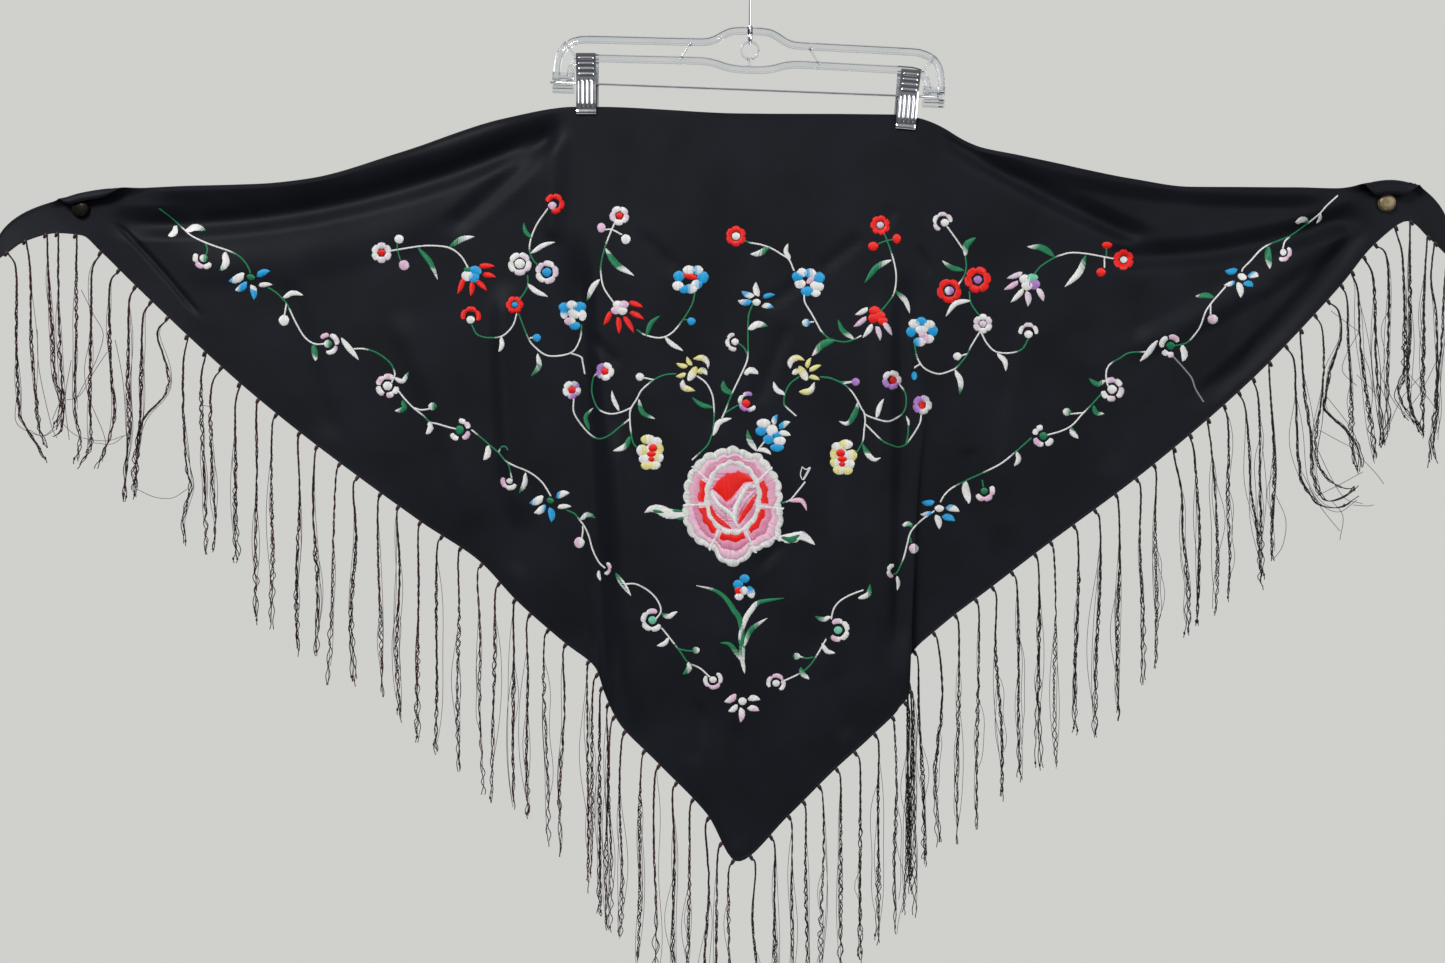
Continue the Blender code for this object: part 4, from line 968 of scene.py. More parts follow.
# Ranges that chance picks from, for each stitch
TONE_RANGE = (0.86, 1.06)
WHITE_RANGE = (0.78, 1.05)
LIFT_RANGE = (0.85, 1.1)
SATIN_RANGE = (0.93, 1.05)
LUMP_RANGE = (0.94, 1.04)
SHADE_SPREAD = 0.09
STEM_WIDTH = 1.9
VEIN_WIDTH = 1.1
PETAL_GAP = 2.4
# How much fuller than its row each kind is worked, and how near two lumps of a cluster lie
LEAF_FULLNESS = 1.2
SEED_FULLNESS = 1.28
WING_FULLNESS = 1.25
BUD_FULLNESS = 1.0
CLUSTER_FULLNESS = 1.22
CLUSTER_REACH = 11.0

# The rose: its middle, then the outline of its petals and rings about that middle
ROSE_CENTRE = (733.0, 503.0)
ROSE_RADIUS = 52
ROSE_DIVIDERS = (41.8, 137.9, 183.0, 243.2, 294.5, 353.2)
ROSE_OUTLINE = (
    # angle, radius
    (41.8, 52), (60, 56), (74, 53), (90, 57), (105, 55), (120, 56), (137.9, 54), (158, 52),
    (171, 50), (183, 48), (188, 51), (201, 52.6), (220, 54), (235, 53), (243.2, 50), (246.5, 51.5),
    (257, 59), (265, 63), (274, 63), (281, 59), (288, 56), (294.5, 52.5), (309, 56.4), (323, 58),
    (337, 53.3), (348, 51.6), (353.2, 48), (360, 48.6), (379.6, 51), (390.8, 52.4), (401.8, 51),
)
# Widths of a petal's bands, from its edge inwards: white, pink and red
ROSE_PETALS = (
    # first angle, last angle, white, pink, red
    (41.8, 137.9, 7.6, 12.0, 0.0),
    (137.9, 183.0, 6.6, 6.5, 5.5),
    (183.0, 243.2, 6.0, 12.0, 5.5),
    (243.2, 294.5, 6.4, 11.5, 6.0),
    (294.5, 353.2, 6.0, 12.0, 5.0),
    (-6.8, 41.8, 6.4, 6.0, 5.5),
)
# The ring round the rose's heart
ROSE_RING = {"centre": (733.0, 497.5), "half_width": 29.2, "half_height": 37.8, "band": 6.0}
# How far each band of stitches laps over the one outside it
LAP = 0.3

# Fringe: each row follows one knotted bundle from its knot down, in the photo's pixels
LEFT_LOCKS = (
    (12, 257, 17, 272, 17, 337, 19, 401, 22, 420, 36, 443, 47, 463),
    (28, 243, 31, 272, 32, 337, 37, 401, 40, 427, 48, 448),
    (48, 236, 49, 272, 53, 337, 55, 376, 62, 404, 55, 430),
    (59, 231, 59, 272, 60, 337, 62, 376, 64, 404, 61, 430, 52, 438),
    (77, 239, 77, 272, 77, 337, 76, 376, 77, 414, 82, 440, 77, 467),
    (101, 254, 93, 270, 92, 311, 91, 363, 90, 401, 91, 427, 90, 448, 77, 469),
    (119, 272, 111, 283, 110, 324, 112, 376, 115, 414, 106, 448, 95, 471),
    (135, 289, 130, 301, 129, 350, 128, 389, 130, 422, 126, 466, 124, 502),
    (152, 303, 144, 316, 142, 363, 141, 414, 138, 453, 135, 502),
    (169, 319, 158, 334, 168, 370, 166, 394, 144, 420, 137, 453, 135, 492),
    (187, 338, 184, 363, 184, 414, 187, 466, 191, 487, 184, 518, 186, 546),
    (205, 354, 202, 376, 202, 414, 204, 466, 206, 518, 206, 557),
    (223, 368, 213, 383, 211, 414, 213, 479, 216, 518, 213, 557),
    (241, 385, 236, 404, 236, 453, 236, 505, 238, 563),
)
RIGHT_LOCKS = (
    (1172, 449, 1174, 459, 1181, 493, 1182, 532, 1187, 588, 1186, 640),
    (1189, 435, 1193, 450, 1196, 486, 1199, 525, 1198, 580, 1196, 628),
    (1206, 420, 1210, 443, 1213, 475, 1216, 521, 1216, 580, 1213, 618),
    (1222, 406, 1227, 420, 1228, 459, 1227, 498, 1229, 558, 1227, 602),
    (1237, 393, 1244, 406, 1248, 443, 1250, 489, 1256, 532, 1259, 590),
    (1252, 379, 1257, 395, 1259, 429, 1259, 475, 1260, 530, 1261, 582),
    (1268, 362, 1269, 383, 1272, 429, 1274, 475, 1272, 521, 1273, 566),
    (1284, 347, 1293, 360, 1295, 395, 1296, 429, 1298, 464, 1303, 486, 1319, 505, 1340, 507, 1356, 496),
    (1299, 331, 1301, 356, 1304, 395, 1310, 436, 1312, 475, 1324, 500, 1344, 496, 1359, 482),
    (1312, 315, 1321, 328, 1323, 360, 1321, 395, 1315, 441, 1318, 464, 1331, 482, 1349, 489, 1358, 484),
    (1325, 300, 1338, 312, 1340, 338, 1331, 365, 1325, 395, 1325, 411, 1344, 429, 1358, 450, 1360, 472),
    (1339, 285, 1346, 299, 1347, 338, 1350, 383, 1351, 429, 1352, 450, 1359, 476),
    (1349, 271, 1357, 292, 1359, 338, 1364, 383, 1370, 429, 1375, 466),
    (1362, 257, 1371, 273, 1374, 303, 1375, 360, 1379, 406, 1382, 448),
    (1374, 245, 1385, 255, 1388, 292, 1387, 349, 1386, 395, 1387, 420, 1379, 448),
    (1395, 230, 1401, 253, 1403, 292, 1404, 338, 1404, 372, 1397, 395, 1413, 425),
    (1409, 222, 1409, 292, 1409, 338, 1407, 372, 1409, 406, 1422, 438),
    (1422, 241, 1423, 292, 1423, 338, 1422, 383, 1422, 441),
    (1429, 248, 1430, 280, 1435, 315, 1436, 360, 1435, 406, 1430, 450, 1429, 468),
    (1442, 260, 1443, 292, 1441, 338, 1437, 383, 1436, 418, 1433, 448, 1438, 466),
)
# Single threads that cross between bundles
LEFT_LOOSE = (
    (82, 290, 95, 316, 104, 334, 98, 358, 88, 378, 77, 399),
    (108, 352, 96, 370, 80, 396, 62, 402, 53, 420),
    (137, 489, 155, 497, 173, 498, 188, 489),
    (95, 443, 113, 444, 126, 435), (60, 420, 78, 436, 106, 441, 124, 436), (30, 430, 44, 436, 58, 425),
    (38, 330, 40, 370, 52, 425, 58, 438), (72, 360, 66, 400, 70, 440), (116, 340, 124, 384, 127, 436),
    (92, 404, 106, 440, 103, 462), (202, 405, 211, 407), (17, 400, 18, 424, 42, 436, 56, 430),
)
RIGHT_LOOSE = (
    (1330, 311, 1350, 326, 1358, 332), (1356, 375, 1376, 398, 1380, 440),
    (1358, 332, 1345, 356, 1342, 372, 1356, 386), (1322, 392, 1350, 428, 1360, 452),
    (1318, 430, 1340, 442, 1352, 448), (1350, 448, 1372, 470, 1383, 484),
    (1308, 488, 1322, 510, 1339, 531), (1330, 500, 1342, 516, 1339, 540), (1352, 505, 1366, 506, 1373, 505),
    (1300, 470, 1318, 502, 1338, 512, 1356, 500), (1316, 496, 1340, 484, 1362, 472),
    (1312, 440, 1340, 494, 1362, 504),
    (1275, 495, 1285, 520, 1282, 545, 1272, 560), (1377, 370, 1392, 400, 1402, 412, 1424, 432),
    (1440, 352, 1420, 392, 1402, 414), (1420, 376, 1400, 400, 1384, 436), (1408, 374, 1436, 412, 1437, 440),
)


def curve_through(points, steps=14):
    """A smooth line through points, dense enough to measure along."""
    points = np.asarray(points, dtype=float)
    if len(points) < 3:
        share = np.linspace(0, 1, steps)[:, None]
        return points[0] + (points[-1] - points[0]) * share
    padded = np.concatenate(([2 * points[0] - points[1]], points, [2 * points[-1] - points[-2]]))
    line = []
    for i in range(1, len(padded) - 2):
        p0, p1, p2, p3 = padded[i - 1:i + 3]
        for k in range(steps):
            t = k / steps
            line.append(0.5 * (2 * p1 + (p2 - p0) * t + (2 * p0 - 5 * p1 + 4 * p2 - p3) * t ** 2
                               + (3 * p1 - p0 - 3 * p2 + p3) * t ** 3))
    line.append(points[-1])
    return np.array(line)


def lengths_along(line):
    """Length from a line's start to each of its points."""
    return np.concatenate(([0.0], np.cumsum(np.linalg.norm(np.diff(line, axis=0), axis=1))))


def line_length(line):
    """Length of a whole line."""
    return lengths_along(line)[-1]


def resample(line, shares):
    """Points at shares of a line's length."""
    lengths = lengths_along(line)
    return np.stack([np.interp(shares * lengths[-1], lengths, column) for column in line.T], axis=1)


def stitch_shares(length):
    """Places of the stitches along a line of a length in the photo's pixels."""
    count = max(int(length * PIXEL / STITCH_PITCH), 2)
    return (np.arange(count) + 0.5) / count


def photo_plane(place):
    """The point of the hanger's plane that is seen at a place of the photo."""
    return np.array((PIXEL * place[0] + PIXEL_X, 0.0, PIXEL_Z - PIXEL * place[1]))


def pairs(values):
    """Points from a row of numbers."""
    return list(zip(values[0::2], values[1::2]))


class Needle:
    """Lays satin stitches, each from one point of the photo's plane to another."""

    def __init__(self, tree, seed):
        self.tree = tree
        self.luck = np.random.default_rng(seed)
        self.starts = []
        self.ends = []
        self.tones = []
        self.lifts = []

    def stitch(self, start, end, tone, lift):
        """Keep one stitch, its colour and its lift each varied a little."""
        self.starts.append(start)
        self.ends.append(end)
        shade = self.luck.uniform(*TONE_RANGE)
        self.tones.append(np.clip(np.asarray(tone) * shade, 0.0, 0.9))
        self.lifts.append(lift * self.luck.uniform(*LIFT_RANGE))

    def tone_at(self, letters, share):
        """Colour of a shaded thread at a share of its run."""
        last = len(letters) - 1
        at = min(max(share * last + self.luck.normal(0, SHADE_SPREAD) * (last > 0), 0.0), last)
        i = min(int(at), max(last - 1, 0))
        first = np.array(THREADS[letters[i]])
        second = np.array(THREADS[letters[min(i + 1, last)]])
        blend = float(smooth((at - i - 0.2) / 0.6))
        return first + (second - first) * blend

    def ladder(self, one, other, letters, lift, ragged=0.0):
        """Stitches between two lines, reaching past them by chance where ragged."""
        line_a = curve_through(one)
        line_b = curve_through(other)
        shares = stitch_shares(max(line_length(line_a), line_length(line_b)))
        a = resample(line_a, shares)
        b = resample(line_b, shares)
        for k in range(len(shares)):
            gap = (b[k] - a[k]) / max(np.linalg.norm(b[k] - a[k]), 1e-6)
            start = a[k] - gap * ragged * self.luck.uniform(0, 1)
            end = b[k] + gap * ragged * self.luck.uniform(0, 1)
            self.stitch(start, end, self.tone_at(letters, shares[k]), lift)

    def satin(self, points, width, letters, swell, slant, lift):
        """Slanted stitches along a line, as wide as the width times the swell at each place."""
        line = curve_through(points)
        shares = stitch_shares(line_length(line))
        centre = resample(line, shares)
        before, after = [resample(line, np.clip(shares + step, 0, 1)) for step in (-0.02, 0.02)]
        ahead = after - before
        for k in range(len(shares)):
            angle = math.atan2(ahead[k][1], ahead[k][0]) + math.pi / 2 + slant
            reach = np.array((math.cos(angle), math.sin(angle))) * width / 2 * swell(shares[k])
            reach *= self.luck.uniform(*SATIN_RANGE)
            self.stitch(centre[k] - reach, centre[k] + reach, self.tone_at(letters, shares[k]), lift)

    def ring(self, letters, cx, cy, inner, outer, first, last, petals):
        """Petals round a middle, each worked from its inner to its outer edge."""
        sweep = (last - first) / petals
        gap = PETAL_GAP if petals > 1 else 0.0
        for petal in range(petals):
            low = first + petal * sweep + gap / 2
            high = low + sweep - gap
            count = max(int(math.radians(high - low) * outer * PIXEL / (STITCH_PITCH * 1.12)), 3)
            for k in range(count):
                share = (k + 0.5) / count
                angle = math.radians(low + (high - low) * share)
                side = abs(2 * share - 1)
                edge = outer * (1 - 0.17 * side ** 4) - self.luck.uniform(0, 0.35)
                start = inner + 0.1 * (outer - inner) * side ** 2
                heading = np.array((math.cos(angle), -math.sin(angle)))
                middle = np.array((cx, cy))
                tone = self.tone_at(letters, (petal + share) / petals)
                self.stitch(middle + heading * start, middle + heading * edge, tone, 0.6)

    def lump(self, letters, x, y, half_x, half_y, lean=0, lift=0.65, fullness=1.08):
        """A padded oval worked across its shorter way."""
        turn = math.radians(lean)
        along = np.array((math.cos(turn), math.sin(turn)))
        across = np.array((-along[1], along[0]))
        if half_y > half_x * 1.25:
            along, across = across, along
            half_x, half_y = half_y, half_x
        half_x, half_y = half_x * fullness, half_y * fullness
        count = max(int(2 * half_x * PIXEL / STITCH_PITCH), 1)
        for k in range(count):
            share = (k + 0.5) / count
            off = 2 * share - 1
            reach = across * half_y * math.sqrt(max(1 - off * off, 0.02)) * self.luck.uniform(*LUMP_RANGE)
            middle = np.array((x, y)) + along * half_x * off
            self.stitch(middle - reach, middle + reach, self.tone_at(letters, share), lift)

    def land(self, place):
        """Where a point of the photo's plane falls on the cloth, and the cloth's outward normal there."""
        point, normal, _, _ = self.tree.ray_cast(Vector(EYE), Vector(photo_plane(place) - EYE))
        if point is None:
            return None
        if normal.y > 0:
            normal = -normal
        return np.array(point), np.array(normal)

    def build(self, name, material, face_out):
        """One mesh of ridged strips, arched over the cloth (face_out 1) or flat on its back (-1)."""
        kept = []
        for start, end, tone, lift in zip(self.starts, self.ends, self.tones, self.lifts):
            landed = [self.land(start + (end - start) * share) for share in (0.0, 0.5, 1.0)]
            if all(item is not None for item in landed):
                kept.append((landed, tone, lift))
        first, mid, last = [np.array([item[0][k][0] for item in kept]) for k in range(3)]
        out = np.array([item[0][1][1] for item in kept])
        lift = np.array([item[2] for item in kept])[:, None]
        tones = np.array([item[1] for item in kept])
        length = np.linalg.norm(last - first, axis=1, keepdims=True)
        lift = np.minimum(lift, 0.25 + 0.22 * length)
        profile = ARCHED
        if face_out < 0:
            profile = FLAT
            back = 2 * SHELL_HALF
            first, mid, last = [corner - out * back for corner in (first, mid, last)]
            out = -out
            lift = np.full_like(lift, REVERSE_LIFT)
        heading = (last - first) / np.maximum(length, 1e-6)
        side = np.cross(out, heading)
        side /= np.maximum(np.linalg.norm(side, axis=1, keepdims=True), 1e-6)
        rows = []
        for share, height in profile:
            bend = 4 * share * (1 - share)
            centre = first + (last - first) * share + (mid - (first + last) / 2) * bend
            rise = np.maximum(lift * height, -0.15)
            rows.append(centre - side * STITCH_HALF_WIDTH + out * (rise - STITCH_SINK))
            rows.append(centre + out * (rise + STITCH_CREST))
            rows.append(centre + side * STITCH_HALF_WIDTH + out * (rise - STITCH_SINK))
        points = np.stack(rows, axis=1)
        per = points.shape[1]
        pattern = []
        for row in range(len(profile) - 1):
            a = row * 3
            pattern.append((a, a + 1, a + 4, a + 3))
            pattern.append((a + 1, a + 2, a + 5, a + 4))
        faces = (np.arange(len(kept))[:, None, None] * per + np.array(pattern)[None]).reshape(-1, 4)
        made = new_object(name, points.reshape(-1, 3), faces.tolist(), material, 180.0)
        colour = made.data.attributes.new("thread", 'FLOAT_COLOR', 'POINT')
        values = np.ones((len(kept), per, 4), dtype=np.float32)
        values[:, :, :3] = tones[:, None, :]
        colour.data.foreach_set("color", values.ravel())
        return add_piece(made, "embroidery")


def even(_):
    """The swell of a line that is equally wide all along."""
    return 1.0


def leaf_swell(share):
    """Pointed at both ends."""
    return max(math.sin(math.pi * min(max(share, 0.02), 0.98) ** 0.85) ** 0.75, 0.12)


def seed_swell(share):
    """Blunt at the base and pointed at the tip."""
    return max(math.sin(math.pi * (0.12 + 0.88 * share) ** 0.8) ** 0.8, 0.1)


def narrowing(start):
    """A swell that is full up to a share of the line and narrows from there on."""
    return lambda share: 1.0 if share < start else 1.0 - (share - start) * 2.6


def rose_edge(angle, scallop=1.0):
    """Radius of the rose's outline, with its small scallops."""
    angle = angle % 360
    if angle < ROSE_OUTLINE[0][0]:
        angle += 360
    radius = np.interp(angle, [row[0] for row in ROSE_OUTLINE], [row[1] for row in ROSE_OUTLINE])
    return radius + scallop * (2.3 * abs(math.sin(math.radians(angle) * 13.0)) ** 0.8 - 1.6)


def rose_ring(angle, inset=0.0):
    """A point of the ring round the rose's heart."""
    turn = math.radians(angle)
    cx, cy = ROSE_RING["centre"]
    wave = 2.2 * abs(math.sin(turn * 8 + 0.6)) - 1.1 if inset == 0 else 0.7 * math.sin(turn * 9)
    x = cx + (ROSE_RING["half_width"] - inset + wave) * math.cos(turn)
    y = cy - (ROSE_RING["half_height"] - inset + wave) * math.sin(turn)
    return np.array((x, y))


def rose_inner(angle):
    """Distance from the rose's middle to its ring."""
    across = math.cos(math.radians(angle))
    up = math.sin(math.radians(angle))
    rise = ROSE_CENTRE[1] - ROSE_RING["centre"][1]
    wide = ROSE_RING["half_width"] ** 2
    tall = ROSE_RING["half_height"] ** 2
    a = across ** 2 / wide + up ** 2 / tall
    b = -2 * rise * up / tall
    return (-b + math.sqrt(b * b - 4 * a * (rise * rise / tall - 1))) / (2 * a)


def rose_point(angle, radius):
    """A point at an angle and a distance from the rose's middle."""
    turn = math.radians(angle)
    return np.array((ROSE_CENTRE[0] + radius * math.cos(turn), ROSE_CENTRE[1] - radius * math.sin(turn)))


def stitch_rays(needle, angle, bands):
    """Stitches along one ray of the rose, from rows of outer end, inner end, colour and lift."""
    for outer, inner, tone, lift in bands:
        needle.stitch(rose_point(angle, outer), rose_point(angle, inner), tone, lift)


def work_rose(needle):
    """Six shaded petals round a ring, and a folded heart inside it."""
    luck = needle.luck
    half_pink = (np.array(THREADS["P"]) + np.array(THREADS["p"])) / 2
    for first, last, white, pink, red in ROSE_PETALS:
        count = int(math.radians(last - first) * ROSE_RADIUS * PIXEL / (STITCH_PITCH * 1.05))
        for k in range(count):
            angle = first + (last - first) * (k + 0.5) / count
            edge = rose_edge(angle)
            inner = rose_inner(angle) - 2.0
            white_end = rose_edge(angle, 0.4) - white + 1.1 * math.sin(angle * 0.32) + luck.uniform(-0.5, 0.5)
            pink_end = inner + 2.0 + red + 1.0 * math.sin(angle * 0.3 + 1) * (red > 0)
            pink_end = min(pink_end, white_end - 2.0) + luck.uniform(-0.5, 0.5)
            paler = np.array(THREADS["W"]) * luck.uniform(*WHITE_RANGE)
            stitch_rays(needle, angle, [(edge, white_end, paler, 0.7)])
            if red == 0:
                pink_end = inner
            middle = (white_end + pink_end) / 2 + luck.uniform(-0.8, 0.8)
            if pink > 8:
                bands = [(white_end + LAP, middle, THREADS["p"], 0.75),
                         (middle + LAP, pink_end, THREADS["P"], 0.75)]
            else:
                bands = [(white_end + LAP, pink_end, half_pink, 0.75)]
            if red > 0:
                deep = 6 < angle - first < last - first - 5
                bands.append((pink_end + LAP, inner, THREADS["R" if deep else "p"], 0.7))
            stitch_rays(needle, angle, bands)
    work_rose_heart(needle)
    for angle in ROSE_DIVIDERS:
        outer = rose_point(angle, rose_edge(angle) + 2.0)
        inner = rose_point(angle, rose_inner(angle) - 1.0)
        needle.satin([outer, inner], 3.2, "W", even, 0.5, 1.1)


# The rose's heart: the dome and the grounds beside it, each worked between two lines
ROSE_LADDERS = (
    # one line, other line, thread colours, lift
    ((712.6, 488, 718, 479, 727, 472, 738, 469.6, 747, 473, 753.6, 480.6),
     (713, 489, 721, 497, 728, 503.4, 735.6, 495, 743.5, 484, 754, 481), "R", 0.75),
    ((713, 489, 721, 497, 728, 503.4), (711, 493, 720, 503, 729.5, 511), "pP", 0.8),
    ((728, 503.4, 735.6, 495, 743.5, 484, 754, 481),
     (731, 509, 738.5, 498.5, 746, 488, 756, 485), "PpP", 0.8),
    ((757.4, 497, 757.6, 508, 751.3, 519.8, 739, 530.5),
     (753, 495, 749, 506, 742, 517, 736.5, 525), "pPp", 0.7),
)
# Its folds, each worked across a middle line
ROSE_FOLDS = (
    # width, thread colours, swell, slant, lift, then the points of the middle line
    (9.0, "R", leaf_swell, 0.5, 0.9, 756.5, 494.5, 750.5, 505, 744, 514, 737.6, 525.5),
    (4.6, "pP", leaf_swell, 0.4, 1.0, 756, 489.5, 747.7, 498, 741.6, 507.5, 736.8, 518),
    (6.6, "W", narrowing(0.72), 0.5, 0.95, 755.5, 487, 750.5, 484.6, 745.5, 488.5, 740, 498, 735.5, 509,
     735, 518, 737.6, 525.8),
    (8.0, "R", leaf_swell, 0.5, 0.85, 709.8, 505, 714.5, 516.5, 722, 523, 731.5, 529),
    (4.6, "pP", leaf_swell, 0.4, 0.95, 710, 499.5, 718.6, 511.5, 729.5, 521.5),
    (6.0, "W", narrowing(0.7), -0.5, 0.95, 710.8, 491.5, 718, 504, 730, 513.5, 737, 526),
)
GROUND_ROWS = 96
RING_STITCHES = 400


def work_rose_heart(needle):
    """Ground of pink, the red dome, the two folds and the ring that frames them."""
    luck = needle.luck
    band = ROSE_RING["band"] - 1.0
    for k in range(GROUND_ROWS):
        angle = 88 - 176 * (k + 0.5) / GROUND_ROWS
        left = rose_ring(180 - angle, band)
        right = rose_ring(angle, band)
        tone = THREADS["P"] if luck.random() < 0.4 else THREADS["p"]
        for part in range(3):
            start, end = [left + (right - left) * third / 3 for third in (part, part + 1)]
            needle.stitch(start, end, tone, 0.3)
    for one, other, letters, lift in ROSE_LADDERS:
        needle.ladder(pairs(one), pairs(other), letters, lift)
    for width, letters, swell, slant, lift, *points in ROSE_FOLDS:
        needle.satin(pairs(points), width, letters, swell, slant, lift)
    for k in range(RING_STITCHES):
        angle = 360 * (k + 0.5) / RING_STITCHES
        tone = np.array(THREADS["W"]) * luck.uniform(*WHITE_RANGE)
        needle.stitch(rose_ring(angle), rose_ring(angle, ROSE_RING["band"]), tone, 0.85)


def crowded(row):
    """Whether another lump lies close beside this one, as in a cluster."""
    return any(0 < math.hypot(row[1] - other[1], row[2] - other[2]) < CLUSTER_REACH for other in LUMPS)


def work_rows(needle, rows, swell, slant, lift, fullness=1.0):
    """Satin lines from rows of width, thread colours and points."""
    for width, letters, *points in rows:
        needle.satin(pairs(points), width * fullness, letters, swell, slant, lift)


def work_embroidery(tree):
    """All stitches in the order they are worked: stems first, flowers last."""
    stems = Needle(tree, 17)
    work_rows(stems, [(STEM_WIDTH, *row) for row in STEMS], even, slant=0.75, lift=0.4)
    work_rows(stems, [(VEIN_WIDTH, *row) for row in OUTLINES], even, slant=1.2, lift=0.2)
    work_rows(stems, LEAVES, leaf_swell, slant=0.62, lift=0.6, fullness=LEAF_FULLNESS)
    work_rows(stems, LEAF_PATCHES, leaf_swell, slant=0.62, lift=1.1)
    flowers = Needle(tree, 29)
    for row in RINGS:
        flowers.ring(*row)
    work_rows(flowers, SEEDS, seed_swell, slant=0.5, lift=0.75, fullness=SEED_FULLNESS)
    for row in LUMPS:
        flowers.lump(*row, fullness=CLUSTER_FULLNESS if crowded(row) else BUD_FULLNESS)
    work_rows(flowers, IRIS_WINGS, leaf_swell, slant=0.2, lift=0.85, fullness=WING_FULLNESS)
    for x, y, lean in YELLOW_FLOWERS:
        for letters, off_x, off_y, half_x, half_y in YELLOW_PETALS:
            flowers.lump(letters, x + lean * off_x, y + off_y, half_x, half_y)
        for off_x, off_y, half_x, half_y in YELLOW_HEART:
            flowers.lump("R", x + lean * off_x, y + off_y, half_x, half_y, lift=1.4)
    rose = Needle(tree, 41)
    work_rose(rose)
    return stems, flowers, rose


def silk_material():
    """Glossy silk thread in the colour each stitch carries."""
    material, nodes, links, shader = new_material("embroidery_silk")
    thread = nodes.new("ShaderNodeAttribute")
    thread.attribute_name = "thread"
    place = nodes.new("ShaderNodeTexCoord").outputs["Object"]
    strands = noise_node(nodes, links, place, 2600.0, 2.0)
    shade = nodes.new("ShaderNodeMixRGB")
    shade.blend_type = 'MULTIPLY'
    set_sockets(shade, Fac=1.0)
    links.new(thread.outputs["Color"], shade.inputs["Color1"])
    links.new(mix_colours(nodes, links, strands.outputs["Fac"], (0.82, 0.82, 0.82), (1.0, 1.0, 1.0)),
              shade.inputs["Color2"])
    links.new(shade.outputs["Color"], shader.inputs["Base Color"])
    set_sockets(shader, Roughness=0.4, Specular_IOR_Level=0.25, Sheen_Weight=0.03)
    add_bump(nodes, links, strands.outputs["Fac"], shader, 0.3, 0.0001)
    return material


# Fringe

class Threads:
    """Collects thin tubes of one piece."""

    def __init__(self):
        self.rings = []
        self.faces = []
        self.count = 0

    def tube(self, path, radius, sides=3):
        """A closed tube along a path, with a radius for each of its points."""
        path = np.asarray(path, dtype=float)
        heading = np.gradient(path, axis=0)
        heading /= np.maximum(np.linalg.norm(heading, axis=1, keepdims=True), 1e-9)
        first = np.cross(heading, np.array((0.0, 1.0, 0.03)))
        first /= np.maximum(np.linalg.norm(first, axis=1, keepdims=True), 1e-9)
        second = np.cross(heading, first)
        radius = np.broadcast_to(radius, (len(path),))
        angles = [2 * math.pi * k / sides for k in range(sides)]
        spokes = [first * math.cos(angle) + second * math.sin(angle) for angle in angles]
        lines = [path + spoke * radius[:, None] for spoke in spokes]
        base = self.count
        for i in range(len(path) - 1):
            for k in range(sides):
                a = base + i * sides + k
                b = base + i * sides + (k + 1) % sides
                self.faces.append((a, b, b + sides, a + sides))
        last = base + (len(path) - 1) * sides
        self.faces.append(tuple(range(base + sides - 1, base - 1, -1)))
        self.faces.append(tuple(range(last, last + sides)))
        self.rings.append(np.stack(lines, axis=1).reshape(-1, 3))
        self.count += len(path) * sides

    def build(self, name, material, smooth_angle):
        """One object of all the tubes."""
        return new_object(name, np.concatenate(self.rings), self.faces, material, smooth_angle)


def through(place, depth):
    """The point at a depth that is seen at a place of the photo."""
    return EYE + (photo_plane(place) - EYE) * (depth - EYE[1]) / -EYE[1]


def space_curve(points, steps):
    """A smooth line through points in space, at even steps of its length."""
    line = curve_through(points, 12)
    return resample(line, np.linspace(0.0, 1.0, steps)), line_length(line)


def free_line(root, side, luck):
    """Middle line of a bundle that hangs by itself: out from the hem, then down with a slight lean."""
    length = LOCK_LENGTH + luck.uniform(*LENGTH_SPREAD)
    out = side * luck.uniform(*HANGS_OUT)
    lean = luck.normal(0, LEAN_SPREAD)
    wave = luck.normal(0, WAVE_SPREAD)
    rows = ((0.0, 0.0), (out, 9.0), (out + lean * 0.2 + wave, 0.3 * length),
            (out + lean * 0.6 - wave, 0.66 * length), (out + lean, length))
    return np.array([(root[0] + across, root[1] + 0.004 * down, root[2] - down) for across, down in rows])


